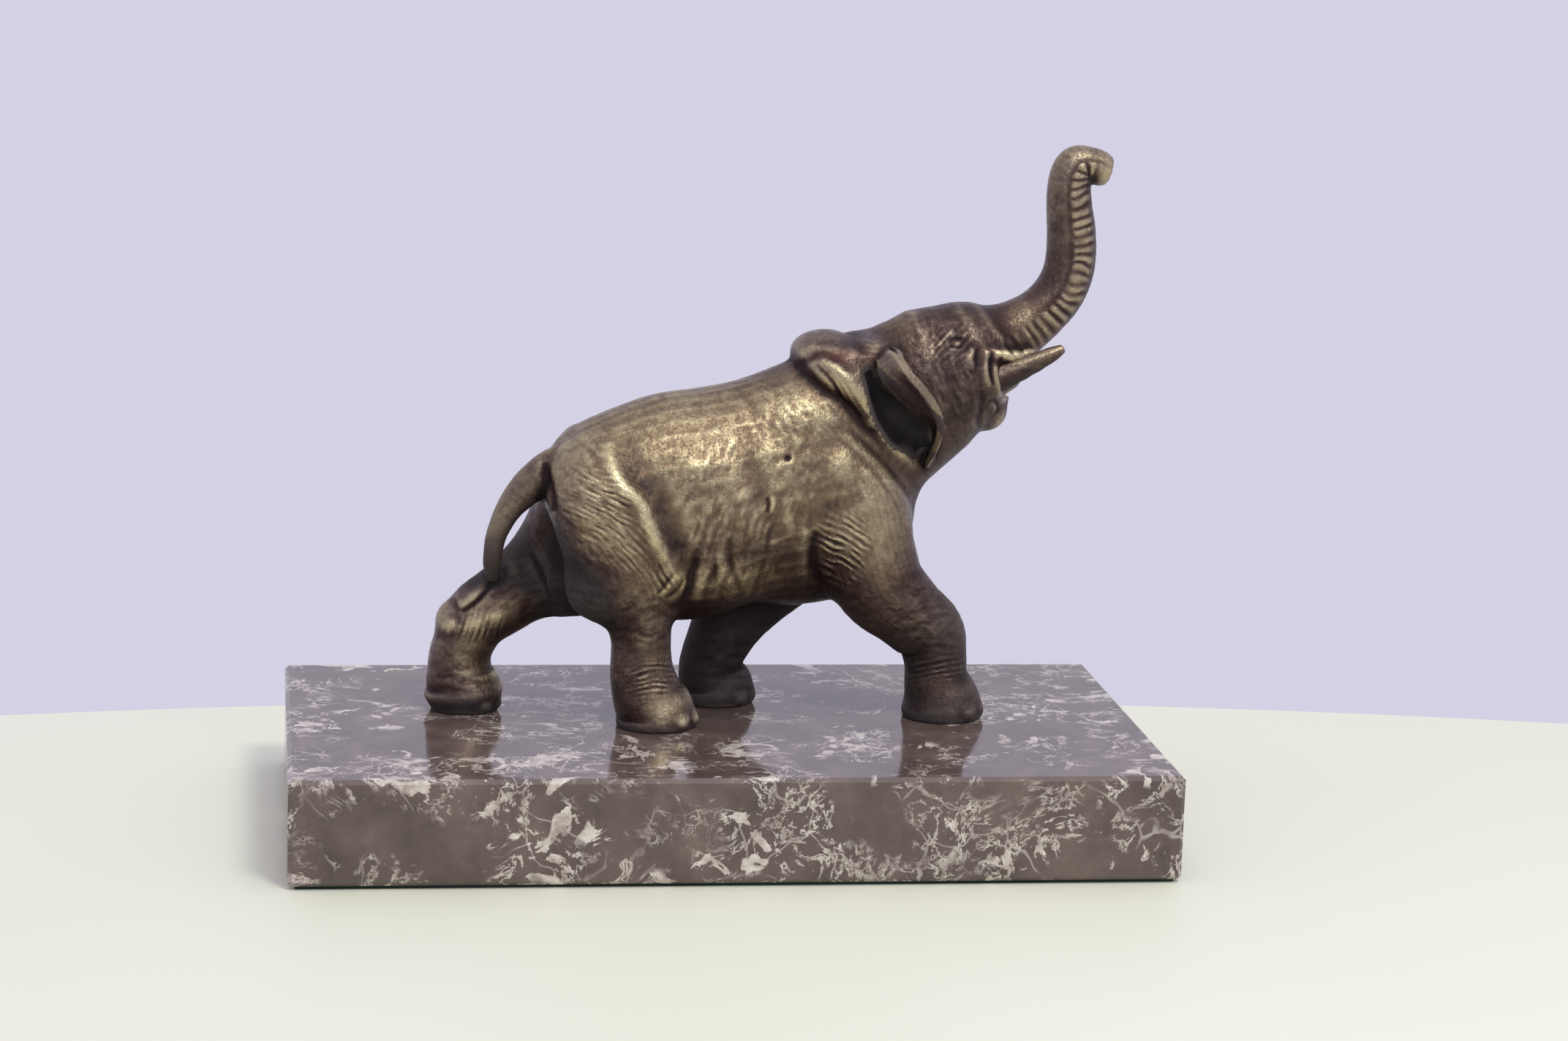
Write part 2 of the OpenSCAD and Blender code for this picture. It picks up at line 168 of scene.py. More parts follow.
# Flap of an ear, by its places on the side view: root u, v, y, rim u, v, y, then half
# thickness.
EAR = [
    (45.5, 107.5, 9, 48.5, 109.5, 12, 1.8), (44.4, 107, 13.5, 50.4, 108.6, 18.5, 1.8),
    (43.8, 104.6, 16.5, 52, 105, 24, 1.8), (45, 101.4, 18.5, 54.8, 100.6, 27.5, 1.8),
    (48.6, 97.4, 19.5, 58.6, 96.2, 29, 1.7), (53, 93.6, 19.5, 62, 91.6, 29, 1.6),
    (58, 90, 18.5, 63.8, 87, 27, 1.4), (61.4, 85.3, 16.5, 63.4, 83, 24, 1.2),
    (61, 80, 13, 61.9, 79, 19, 1.1), (59, 75.5, 9, 60, 75.5, 13, 1),
]
# Hollow behind an ear, by places on the side view: u, v, y, half width, half depth.
EAR_HOLLOW = [
    (40.9, 103, 20, 6, 1.5), (43.6, 98, 21, 8, 3), (48, 92.4, 21, 9.5, 5.8),
    (53.6, 87, 21, 10, 8), (57.6, 82.2, 20, 9.5, 6.8), (59.6, 77.8, 18, 7, 3.4),
]
EAR_BELLY = -0.8
EAR_CURL = 1.6
EAR_ACROSS = 12
EYE = np.array([67, 13.0, 111])
FOOT_CENTRES = [(65.5, -14), (3, 14), (-21, -14), (-73, 14)]
TOE_ANGLES = (-62, -24, 24, 62)

# Some places are drawn on a side view, seen a little from behind and above: a point
# y out from the middle falls at u = x - BEHIND * (REACH - y), v = z + ABOVE * (REACH - y).
REACH = 14
BEHIND = 0.268
ABOVE = 0.243


def placed(u, v, y):
    """The x, y, z of a point y out from the middle which falls at u, v on the side view."""
    return u + BEHIND * (REACH - y), y, v - ABOVE * (REACH - y)


def seen(points, inset):
    """The side view's u and v of points that lie this far in from REACH."""
    return points[:, 0] - BEHIND * inset, points[:, 2] + ABOVE * inset


def splined(rows, steps):
    """The rows with steps - 1 more rows blended in between each pair (Catmull-Rom)."""
    rows = np.asarray(rows, float)
    last = len(rows) - 1
    out = []
    for i in range(last):
        a, b = rows[max(i - 1, 0)], rows[i]
        c, d = rows[i + 1], rows[min(i + 2, last)]
        for k in range(steps):
            t = k / steps
            out.append(
                0.5 * (2 * b + (c - a) * t + (2 * a - 5 * b + 4 * c - d) * t**2
                       + (3 * b - a - 3 * c + d) * t**3)
            )
    out.append(rows[last])
    return np.array(out)


def unit(values):
    """The values, held between 0 and 1."""
    return np.clip(values, 0, 1)


def units(vectors):
    """The vectors, each with length 1."""
    return vectors / np.linalg.norm(vectors, axis=-1, keepdims=True)


def grid_triangles(rings, sides):
    """Triangles of a closed loft, whose two end points come last."""
    a = np.arange(rings * sides).reshape(rings, sides)
    b = np.roll(a, -1, axis=1)
    walls = ([a[:-1], b[:-1], b[1:]], [a[:-1], b[1:], a[1:]])
    first = np.full(sides, rings * sides)
    caps = ([first, b[0], a[0]], [first + 1, a[-1], b[-1]])
    return np.concatenate([np.stack(corners, -1).reshape(-1, 3) for corners in walls + caps])


def sweep(rows, upright=False, wide=(0, 1, 0)):
    """Points and triangles of a limb of ovals, square to its line or, if upright, to x."""
    s = splined(rows, STEPS)
    egg = s[:, 5:6] if s.shape[1] > 5 else 0
    centre = s[:, :3]
    along = np.gradient(centre, axis=0)
    if upright:
        along[:] = (1, 0, 0)
    along = units(along)
    across = units(np.array(wide, float) - along * (along @ np.array(wide))[:, None])
    deep = np.cross(along, across)
    a = np.linspace(0, 2 * math.pi, SIDES, endpoint=False)
    out = (s[:, 3:4] * np.cos(a) * (1 + egg * np.sin(a)))[..., None]
    down = (s[:, 4:5] * np.sin(a))[..., None]
    rings = centre[:, None] + across[:, None] * out - deep[:, None] * down
    points = np.concatenate([rings.reshape(-1, 3), centre[:1], centre[-1:]])
    return points, grid_triangles(len(s), SIDES)


def mirrored(shape):
    """The same shape on the other side of the elephant."""
    points, triangles = shape
    return points * (1, -1, 1), triangles[:, ::-1]


def soft_min(a, b, width):
    """The smaller of two distances, rounded where they differ by less than width."""
    h = np.maximum(width - np.abs(a - b), 0) / width
    return np.minimum(a, b) - h * h * width / 4


class Clay:
    """A block of voxels that holds the distance to a surface, negative inside it."""

    def __init__(self, low, high, voxel):
        self.low = np.asarray(low, float)
        self.voxel = voxel
        self.count = np.ceil((np.asarray(high) - self.low) / voxel).astype(int)
        self.field = np.full(self.count, BAND, np.float32)

    def part(self, low, high):
        """The slices of the block between two corners, and their x, y and z."""
        a = np.clip(np.floor((low - self.low) / self.voxel).astype(int), 0, self.count)
        b = np.clip(np.ceil((high - self.low) / self.voxel).astype(int), 0, self.count)
        cut = tuple(slice(p, q) for p, q in zip(a, b, strict=True))
        axes = [self.low[n] + self.voxel * np.arange(a[n], b[n]) for n in range(3)]
        return cut, np.meshgrid(*axes, indexing="ij", sparse=True)

    def distances(self, shape):
        """The slices round a closed mesh, and its distances there."""
        points, triangles = shape
        cut, _ = self.part(points.min(0) - BAND, points.max(0) + BAND)
        grid = vdb.FloatGrid.createLevelSetFromPolygons(
            ((points - self.low) / self.voxel).astype(np.float32),
            triangles=triangles.astype(np.uint32),
            transform=vdb.createLinearTransform(voxelSize=1.0),
            halfWidth=BAND / self.voxel,
        )
        out = np.empty([c.stop - c.start for c in cut], np.float32)
        grid.copyToArray(out, ijk=tuple(c.start for c in cut))
        return cut, out * self.voxel

    def depth_in(self, shape, points):
        """The distances of points from a closed mesh, as far as they are known."""
        cut, d = self.distances(shape)
        at = np.rint((points - self.low) / self.voxel).astype(int) - [c.start for c in cut]
        known = ((at >= 0) & (at < d.shape)).all(1)
        out = np.full(len(points), BAND)
        out[known] = d[tuple(at[known].T)]
        return out

    def join(self, shape, width):
        cut, d = self.distances(shape)
        self.field[cut] = soft_min(self.field[cut], d, width)

    def carve(self, shape, width):
        cut, d = self.distances(shape)
        self.field[cut] = -soft_min(-self.field[cut], d, width)

    def places(self):
        """The x, y and z of the whole block."""
        return self.part(self.low, self.low + self.count * self.voxel)[1]

    def skin(self, beyond=None, lap=0):
        """Points and quads of the surface, up to where beyond(x, y, z) exceeds the lap."""
        block = self.field
        if beyond is not None:
            block = np.maximum(block, (beyond(*self.places()) - lap).astype(np.float32))
        grid = vdb.FloatGrid(BAND)
        grid.copyFromArray(block)
        points, quads = grid.convertToQuads(isovalue=0.0)
        return points * self.voxel + self.low, quads.astype(np.int64)


def ball(centre, radii):
    """An ellipsoid as a closed mesh."""
    up = np.linspace(-1, 1, 2 * STEPS + 1)[1:-1] * math.pi / 2
    a = np.linspace(0, 2 * math.pi, SIDES, endpoint=False)
    ring = np.stack([np.cos(a), np.sin(a), np.zeros(SIDES)], 1)
    rings = ring * np.cos(up)[:, None, None] + np.array([0, 0, 1.0]) * np.sin(up)[:, None, None]
    points = np.concatenate([rings.reshape(-1, 3), [(0, 0, -1.0)], [(0, 0, 1.0)]])
    return points * radii + centre, grid_triangles(len(up), SIDES)


def ear():
    """The left ear: a sheet that bellies back, with a thicker rim that curls back."""
    rows = [(*placed(*row[:3]), *placed(*row[3:6]), row[6]) for row in EAR]
    s = splined(rows, STEPS)
    t = np.linspace(0, 1, EAR_ACROSS)[None, :, None]
    sheet = s[:, None, :3] * (1 - t) + s[:, None, 3:6] * t
    sheet[..., 0] += EAR_BELLY * np.sin(math.pi * t[..., 0]) - EAR_CURL * t[..., 0] ** 6
    normal = units(np.cross(np.gradient(sheet, axis=1), np.gradient(sheet, axis=0)))
    swell = 1.1 - 0.4 * t + 0.15 * np.exp(-(((t - 0.97) / 0.06) ** 2))
    half = normal * s[:, None, 6:7] * swell
    rings = np.concatenate([sheet + half, (sheet - half)[:, ::-1]], axis=1)
    sides = rings.shape[1]
    points = np.concatenate([rings.reshape(-1, 3), rings[:1].mean(1), rings[-1:].mean(1)])
    return points, grid_triangles(len(s), sides)


def hollow():
    """The hollow behind the left ear."""
    return sweep([(*placed(u, v, y), w, d) for u, v, y, w, d in EAR_HOLLOW])


def both(clay, shape, width):
    """Joins a shape of the left side, and its mirror image."""
    clay.join(shape, width)
    clay.join(mirrored(shape), width)


def toes(clay, foot, reach):
    """Toes fanned round the front of a foot, this far out, each with its nail."""
    for angle in TOE_ANGLES:
        a = math.radians(angle)
        out = np.array([math.cos(a), math.sin(a), 0])
        at = np.array([foot[0] + 1.2, foot[1], 0]) + reach * out
        clay.join(ball(at + (0, 0, 2.9), (3.6, 3.6, 3.4)), 1.2)
        clay.join(ball(at + 2 * out + (0, 0, 2.4), (1.8, 2.3, 1.7)), 0.8)


def sculpt():
    """The whole elephant but its tusks, as one block of clay."""
    clay = Clay(CLAY_LOW, CLAY_HIGH, VOXEL)
    clay.join(sweep(TORSO, upright=True), 1)
    clay.join(sweep(BRISKET), 8)
    clay.join(sweep(NECK), 8)
    clay.carve(sweep(CLEFT), 4)
    for limb in (RIGHT_HIND, LEFT_HIND, RIGHT_FORE, LEFT_FORE):
        clay.join(sweep(limb), 6.5)
    for foot in FOOT_CENTRES:
        toes(clay, foot, 8.2 if foot[0] > -50 else 7.2)
    clay.join(ball((-37, -12, 39.5), (8.5, 8, 7)), 9)
    clay.join(ball((-42, 8, 38.5), (8.5, 7, 9)), 9)
    clay.join(ball((-76.5, 14, 27), (3.6, 5, 4.5)), 3)
    clay.join(sweep(TAIL), 1.2)
    head = Clay(CLAY_LOW, CLAY_HIGH, VOXEL)
    head.join(sweep(SKULL), 1)
    head.join(sweep(THROAT), 4)
    head.join(sweep(TRUNK), 6)
    both(head, sweep(SHEATH), 3)
    both(head, sweep(LIP_FOLD), 1.5)
    head.join(ball((66, 0, 110.8), (15, 8.5, 7.4)), 6)
    both(head, ball((81.2, 2.5, 90.1), (4.8, 4.6, 5.6)), 2)
    for side in (-1, 1):
        head.carve(sweep([(x, side * y, z, w, d) for x, y, z, w, d in MOUTH]), 1.5)
    both(head, ball(EYE, (1.2, 1.1, 0.8)), 0.5)
    clay.field = soft_min(clay.field, head.field, 5)
    nape = sweep(NAPE[::-1] + [(x, -y, *rest) for x, y, *rest in NAPE[1:]], wide=(1, 0, 0))
    clay.join(nape, 3)
    both(clay, ball((43, 8, 106), (7, 8, 6)), 4)
    both(clay, sweep(NECK_EDGE), 4)
    for shape in (hollow(), mirrored(hollow())):
        clay.carve(shape, 0.8)
    both(clay, ear(), 1)
    height = clay.places()[2]
    clay.field = np.maximum(clay.field, (-height).astype(np.float32))
    return clay


# ---------------- working the skin
LATTICE = 64


def blended(block, low, f):
    """Values between the cells of a block: f is how far a point lies on from cell low."""
    out = 0
    for corner in np.ndindex(2, 2, 2):
        w = np.prod(np.where(corner, f, 1 - f), axis=1)
        i, j, k = ((low + corner) % block.shape).T
        out = out + w * block[i, j, k]
    return out


def noise(points, seed):
    """Smooth noise from -1 to 1 at each point, with bumps about one unit apart."""
    table = np.random.default_rng(seed).uniform(-1, 1, (LATTICE,) * 3).astype(np.float32)
    low = np.floor(points).astype(int)
    f = (points - low).astype(np.float32)
    return blended(table, low, f * f * (3 - 2 * f))


def ripple(a, b, c, seed):
    return noise(np.stack([a, b, c], 1), seed)


class Skin:
    """Points of a surface with their side view places, and how far each is to be pushed."""

    def __init__(self, points, quads):
        self.points = points
        self.quads = quads
        self.normals = self.find_normals()
        self.u, self.v = seen(points, REACH - np.abs(points[:, 1]))
        self.outward = self.normals[:, 1] * np.sign(points[:, 1])
        self.push = np.zeros(len(points), np.float32)

    def across(self):
        """The same skin, with its push, for drawing on the left legs' inner sides."""
        other = copy.copy(self)
        y = self.points[:, 1]
        other.u, other.v = seen(self.points, REACH + y)
        other.outward = np.where(y > 1, -self.normals[:, 1], -1)
        return other

    def find_normals(self):
        p, q = self.points, self.quads
        face = np.cross(p[q[:, 2]] - p[q[:, 0]], p[q[:, 3]] - p[q[:, 1]])
        sums = [np.bincount(q.ravel(), np.repeat(face[:, n], 4), len(p)) for n in range(3)]
        total = np.stack(sums, 1)
        return total / np.maximum(np.linalg.norm(total, axis=1, keepdims=True), 1e-9)

    def near(self, line, reach, side=0):
        """For points within reach of a line on the side view: their signed distance, left
        of it positive, and the part of the line reached."""
        path = splined(np.asarray(line, float), 8)
        low, high = path.min(0) - reach, path.max(0) + reach
        chosen = (self.outward > -0.15) & (self.u > low[0]) & (self.u < high[0])
        chosen &= (self.v > low[1]) & (self.v < high[1])
        if side:
            chosen &= self.points[:, 1] * side > 0
        at = np.nonzero(chosen)[0]
        p = np.stack([self.u[at], self.v[at]], 1)
        best = np.full(len(at), 1e9)
        signed = np.zeros(len(at))
        share = np.zeros(len(at))
        for n in range(len(path) - 1):
            a, d = path[n], path[n + 1] - path[n]
            t = np.clip(((p - a) @ d) / (d @ d), 0, 1)
            off = p - a - t[:, None] * d
            length = np.hypot(off[:, 0], off[:, 1])
            closer = length < best
            best[closer] = length[closer]
            turn = d[0] * off[:, 1] - d[1] * off[:, 0]
            signed[closer] = (np.sign(turn) * length)[closer]
            share[closer] = ((n + t) / (len(path) - 1))[closer]
        return at, signed, share

    def crease(self, line, depth, width, lip=0.0, lip_reach=3.0, side=0):
        """A groove along a line; lip raises the skin on the line's left (or right if < 0)."""
        at, d, share = self.near(line, 3.5 * max(width, lip_reach), side)
        fade = np.sin(math.pi * share) ** 0.6
        push = -depth * np.exp(-((d / width) ** 2))
        s = np.maximum(d * np.sign(lip), 0) / lip_reach
        push += abs(lip) * s * np.exp((1 - s * s) / 2)
        self.push[at] += fade * push * unit(self.outward[at] * 3 + 0.45)

    def within(self, centre, radii, tilt=0.0, side=0):
        """A soft oval mask on the side view, 1 at its centre and 0.37 at its edge."""
        a = math.radians(tilt)
        du, dv = self.u - centre[0], self.v - centre[1]
        along = (du * math.cos(a) + dv * math.sin(a)) / radii[0]
        across = (dv * math.cos(a) - du * math.sin(a)) / radii[1]
        mask = np.exp(-(along**2) - across**2) * unit(self.outward * 3 + 0.3)
        if side:
            mask = mask * (self.points[:, 1] * side > 0)
        return mask

    def swell(self, centre, radii, height, tilt=0.0, side=0):
        self.push += height * self.within(centre, radii, tilt, side)

    def turned(self, at, angle):
        """Places along and across a slant to the horizontal, and a number for the side."""
        a = math.radians(angle)
        along = self.u[at] * math.cos(a) + self.v[at] * math.sin(a)
        across = self.v[at] * math.cos(a) - self.u[at] * math.sin(a)
        return along, across, np.where(self.points[at, 1] > 0, 9.5, 0)

    def streaks(self, mask, angle, pitch, length, height, seed):
        """Wrinkles this far apart, at an angle to the horizontal."""
        at = np.nonzero(np.abs(mask) > 0.02)[0]
        along, across, side = self.turned(at, angle)
        bend = ripple(along / length, across / length / 2, side, seed + 1)
        across = across + 0.5 * pitch * bend
        # Each row of the lattice is shifted along, so that no weave shows.
        row = across / pitch
        wave = ripple(along / length + 0.38 * row, row, side, seed)
        row = 2.1 * row
        fine = ripple(along / length * 2.3 - 0.43 * row, row, side, seed + 2)
        wave = 0.75 * wave + 0.25 * fine
        self.push[at] += mask[at] * height * np.clip(wave * 2.2, -1.2, 0.8)

    def grooves(self, mask, angle, pitch, depth, seed):
        """Long grooves this far apart, at an angle to the horizontal."""
        mask = unit(1.25 * mask - 0.25)
        at = np.nonzero(mask)[0]
        along, across, side = self.turned(at, angle)
        phase = across / pitch + 0.8 * ripple(along / 10, across / 12, side, seed)
        phase += 0.25 * ripple(along / 4, across / 3, side, seed + 2)
        line = np.round(phase)
        size = np.clip(0.6 + 1.1 * ripple(along / 3, line * 1.7, side, seed + 1), 0, 1.3)
        off = np.sin(math.pi * np.abs(phase - line))
        self.push[at] += mask[at] * size * depth * (off - 0.6)


RING_PITCH = 2.8
RING_DEPTH = 0.44
# The rings reach this far round to the trunk's back (as a cosine), where an edge runs.
RING_REACH = -0.28
EDGE_AT = -0.3
EDGE_DEPTH = 0.14


def trunk_rings(skin):
    """Rings across the front and sides of the trunk, up to an edge on its plain back."""
    line = splined(np.array(TRUNK)[1:-1, :3], 12)
    step = np.linalg.norm(np.diff(line, axis=0), axis=1)
    run = np.concatenate([[0], np.cumsum(step)])
    along = units(np.gradient(line, axis=0))
    front = -np.cross(along, (0, 1.0, 0))
    p = skin.points
    at = np.nonzero((p[:, 0] > 74) & (p[:, 2] > 103) & (p[:, 2] > 186 - p[:, 0]))[0]
    best = ((p[at][:, None] - line[None]) ** 2).sum(2).argmin(1)
    off = p[at] - line[best]
    down = (off * along[best]).sum(1)
    s = run[best] + down
    off = units(off - down[:, None] * along[best])
    facing = (off * front[best]).sum(1)
    side = off[:, 1]
    s = s + 1.2 * ripple(s / 7, facing * 1.5, side * 1.2, 41)
    s = s + 0.9 * (1 - facing)
    phase = s / RING_PITCH
    groove = np.abs(phase - np.round(phase)) * 2
    size = 0.75 + 0.5 * ripple(np.round(phase) * 0.7, side * 2, facing, 42)
    ringed = unit((facing - RING_REACH) * 6) * unit((run[-1] - 1 - s) / 3)
    ringed *= unit((s + 1) / 4)
    ringed *= 1 - 0.85 * unit((facing - 0.5) * 3)
    skin.push[at] += ringed * size * RING_DEPTH * (np.sin(groove * math.pi / 2) - 0.55)
    edge = np.exp(-(((facing - EDGE_AT) / 0.13) ** 2)) * unit((s - 12) / 10)
    skin.push[at] -= EDGE_DEPTH * edge


RIGHT, LEFT = -1, 1

# Creases: the line on the side view, depth, width, then the lip's height and its reach.
THIGH_RIDGE = [(-37, 84), (-34.5, 76), (-31, 70), (-26, 65), (-22.5, 57), (-18.5, 49), (-13, 40)]
FAR_THIGH_RIDGE = [(-40, 78), (-30, 66), (-22, 55), (-14, 44)]
FLANK_CREASES = [
    ([(-11.2, 46), (-10.8, 41), (-13, 37), (-17, 34)], 0.5, 1.2, 0.2, 2),
    ([(-13, 43), (-14.5, 40), (-18, 37.5)], 0.3, 0.6, 0.2, 1.2),
    ([(-16, 45), (-18, 41.5), (-20.5, 38.5)], 0.25, 0.6, 0.2, 1.2),
    ([(26.5, 57), (25.4, 51), (26, 45), (29, 40.5)], 0.6, 1.8, -0.4),
    ([(11.5, 66.5), (12, 64), (11.6, 61.5)], 0.45, 0.6, 0.3, 1),
    ([(-55.6, 79), (-54.2, 73.5), (-52.6, 68.5), (-51.6, 64)], 1.0, 1.3),
    ([(-8.6, 52), (-9.6, 46), (-11, 40), (-11.6, 35)], 0.5, 1.6, 0.25, 3),
    ([(0.6, 55), (0.8, 49), (2, 44), (4.6, 39)], 0.22, 1.2, -0.3, 3),
    ([(-3.4, 50), (-3.8, 45.5), (-2.6, 40.5)], 0.12, 0.9, 0.12, 2),
    ([(14.4, 59), (12.6, 56), (11.4, 51)], 0.16, 0.8, 0.14, 1.5),
    ([(4, 88), (5, 79), (8, 71), (12.5, 61), (15, 54)], 0.9, 4),
    ([(18, 62), (26, 62), (34, 64), (40, 67)], 0.5, 3.5),
]
FAR_LEG_CREASES = [
    ([(-80, 35.8), (-76.5, 38), (-73.5, 41), (-71, 44.5)], 0.6, 0.8, 0.6, 1.8),
    ([(-60, 53), (-58, 50), (-55.5, 45), (-52.5, 39)], 0.45, 0.9, -0.25, 2.5),
]
NECK_FOLD = [(26.5, 106), (31, 101), (34, 96.5), (38.5, 90)]
NECK_CREASES = [
    ([(34.5, 86.5), (40, 82), (46, 76.5), (51, 70.5), (54, 66)], 0.35, 1.1, 0.25, 2),
    ([(31, 84), (37, 79), (43, 73.5), (48, 67)], 0.15, 1.0, 0.12, 2),
    ([(24, 113), (31, 112), (37, 110.5), (41, 107)], 0.2, 1.6),
]
FACE_CREASES = [
    ([(64.2, 111.4), (65.6, 112.8), (67.4, 113), (69.2, 112.2)], 0.35, 0.5, 0.1, 1),
    ([(64.8, 110.8), (66.8, 110.2), (69.2, 110.8)], 0.25, 0.45, -0.1, 0.8),
    ([(61.6, 110.6), (63.2, 113.2), (66, 115.6)], -0.25, 0.7),
    ([(65.6, 109), (68.6, 112.6), (70, 115.4)], -0.2, 0.6),
    ([(68.4, 109.6), (70.6, 112), (71.6, 114)], -0.2, 0.6),
    ([(73.2, 110), (72.6, 107), (73.2, 103.5)], 0.2, 0.8, -0.5, 1.4),
    ([(77.8, 109), (77.2, 106), (77.4, 102), (78.4, 98.5)], 0.5, 0.7, -0.4, 1.2),
    ([(80.6, 107.5), (80.1, 104), (80.5, 99.5)], 0.5, 0.6),
    ([(76.5, 93.5), (78.5, 94.6), (80.3, 93), (79.6, 90.8)], 0.3, 0.6, -0.3, 0.9),
    ([(74.6, 97.5), (75.2, 93), (74.6, 89), (75.5, 86.8)], 0.45, 1.1),
]
# Swellings: centre, radii, height, tilt and side.
CORE_PLUG = (17, 77.8)
BODY_SWELLS = [
    ((32, 75.5), (5, 5), 1.1), ((-10, 75.5), (5.5, 4), 0.6),
    (CORE_PLUG, (0.8, 0.8), -0.4, 0, RIGHT), ((17, 93), (15, 6), 0.8, -14),
    ((34, 52), (6, 9), 0.6, 0, RIGHT), ((4, 42), (5, 4), 0.5),
    ((35.5, 109), (3.5, 2), 0.6, -30),
]
FAR_LEG_SWELLS = [
    ((-83, 31.5), (2.5, 2.2), 0.7), ((-76, 32), (3.6, 3), 0.6, 30),
    ((-69.5, 33.5), (3, 2.4), 0.6, 20), ((-65.5, 49), (2, 3), 0.5, 20),
]
# Long grooves: centre, radii, side, then what Skin.grooves takes.
GROOVES = {
    "elbow": ((33.5, 50.5), (8.5, 10.5), RIGHT, -24, 2.0, 0.65, 5),
    "thigh": ((-37, 64), (12, 11), RIGHT, -27, 1.5, 0.36, 6),
    "low thigh": ((-27, 52), (9, 9), RIGHT, -50, 1.7, 0.24, 66),
    "stifle": ((-19, 43), (5, 5.5), RIGHT, -60, 1.8, 0.3, 7),
    "hind ankle": ((-21, 14.5), (9, 7), RIGHT, 2, 1.6, 0.42, 8),
    "fore ankle": ((64, 14.5), (10, 4.5), RIGHT, 8, 1.8, 0.5, 9),
    "temple": ((65, 111), (8, 7), 0, 52, 1.7, 0.2, 46),
}
# Fine wrinkles: ovals, side, then what Skin.streaks takes.
STREAKS = {
    "far ankles": ([((-76, 15), (12, 8)), ((0, 13), (12, 7))], LEFT, 3, 1.8, 5, 0.18, 10),
    "withers": ([((18, 90), (18, 9))], 0, -52, 1.3, 4, 0.07, 12),
    "belly": ([((0, 44), (14, 7))], 0, 80, 1.8, 5, 0.16, 13),
    "rump": ([((-42, 62), (13, 22))], 0, -30, 1.3, 3.5, 0.09, 14),
    "head": ([((62, 112), (12, 9)), ((66, 96), (9, 12))], 0, -60, 1.2, 3, 0.08, 16),
    "ear back": ([((53, 98), (6, 9))], 0, -48, 1.8, 5, 0.16, 17),
    "shins": ([((60, 30), (12, 14)), ((-26, 30), (10, 9))], RIGHT, 10, 1.4, 3.5, 0.1, 18),
    "far legs": ([((-62, 36), (20, 14)), ((8, 30), (14, 14))], LEFT, 20, 1.7, 4, 0.11, 19),
}
FAR_LEG_STREAKS = {
    "hind foot": ((-77, 16), (12, 6), 5, 1.6, 4, 0.16, 37),
    "hind shin": ((-62, 40), (10, 9), 35, 1.5, 4, 0.1, 38),
    "fore foot": ((4, 18), (12, 12), 5, 1.8, 5, 0.16, 39),
}


def fold_body(skin):
    skin.crease(THIGH_RIDGE, -1.1, 2.4, side=RIGHT)
    skin.crease([(u + 5, v + 2.5) for u, v in THIGH_RIDGE], 0.9, 3.5, side=RIGHT)
    skin.crease(FAR_THIGH_RIDGE, -1, 3, side=LEFT)
    for crease in FLANK_CREASES:
        skin.crease(*crease, side=RIGHT)
    for swell in BODY_SWELLS:
        skin.swell(*swell)


def fold_far_legs(skin):
    """The inner sides of the left legs, drawn as seen between the right ones."""
    across = skin.across()
    for crease in FAR_LEG_CREASES:
        across.crease(*crease)
    for swell in FAR_LEG_SWELLS:
        across.swell(*swell)
    across.grooves(across.within((-76, 31), (9, 5)), 75, 1.9, 0.4, 36)
    for centre, radii, *wrinkles in FAR_LEG_STREAKS.values():
        across.streaks(across.within(centre, radii), *wrinkles)


def fold_neck_and_head(skin):
    skin.crease([(18, 105.6), (22, 107.4), (26, 109), (31, 107.2), (37, 103)], 0.55, 1.6)
    for n in range(3):
        line = [(u + 2.2 * n - 2, v - 0.6 * n) for u, v in NECK_FOLD]
        skin.crease(line, 0.35 - 0.06 * n, 0.75, 0.45 - 0.08 * n, 1.5)
    for crease in NECK_CREASES + FACE_CREASES:
        skin.crease(*crease)


def wrinkle(skin):
    for centre, radii, side, *grooves in GROOVES.values():
        skin.grooves(skin.within(centre, radii, 0, side), *grooves)
    for ovals, side, *streaks in STREAKS.values():
        mask = sum(skin.within(centre, radii, 0, side) for centre, radii in ovals)
        skin.streaks(unit(mask), *streaks)
    patches = np.clip(0.6 + 1.2 * noise(skin.points / 9, 24), 0, 1.3)
    barrel = unit(skin.within((-6, 66), (20, 24)) + skin.within((20, 72), (14, 16)))
    barrel *= unit(skin.outward * 2)
    skin.streaks(patches * barrel, 78, 1.3, 4.5, 0.08, 11)
    skin.streaks(barrel, 40, 2.6, 4, 0.06, 31)


def work_skin(skin):
    """Folds, wrinkles and swellings, then the trunk's rings and the casting's unevenness."""
    fold_body(skin)
    fold_far_legs(skin)
    fold_neck_and_head(skin)
    wrinkle(skin)
    trunk_rings(skin)
    skin.push += 0.035 * noise(skin.points / 1.1, 20) + 0.08 * noise(skin.points / 3, 21)


def spread_over(values, quads):
    """Each point's values, averaged with those of the points it shares a side with."""
    total = values.copy()
    count = np.ones(len(values))
    for a in range(4):
        for b in (a - 1, a - 3):
            for n in range(3):
                total[:, n] += np.bincount(quads[:, a], values[quads[:, b], n], len(values))
            count += np.bincount(quads[:, a], minlength=len(values))
    return total / count[:, None]


def relief_of(points, quads):
    """From 0 in a fold to 1 on a ridge, with 0.5 on an even surface."""
    normals = Skin(points, quads).normals
    height = np.zeros(len(points))
    smooth = points
    for rounds in (4, 24):
        for _ in range(rounds):
            smooth = spread_over(smooth, quads)
        height += ((points - smooth) * normals).sum(1)
    return unit(0.5 + height).astype(np.float32)


def oval(u, v, centre, radii):
    """A soft oval, 1 at its centre and 0.37 at its edge."""
    return np.exp(-(((u - centre[0]) / radii[0]) ** 2) - ((v - centre[1]) / radii[1]) ** 2)


# The metal is counted on every third voxel, in windows this many steps to each side.
PACKING_STEP = 3
PACKING_REACH = 5
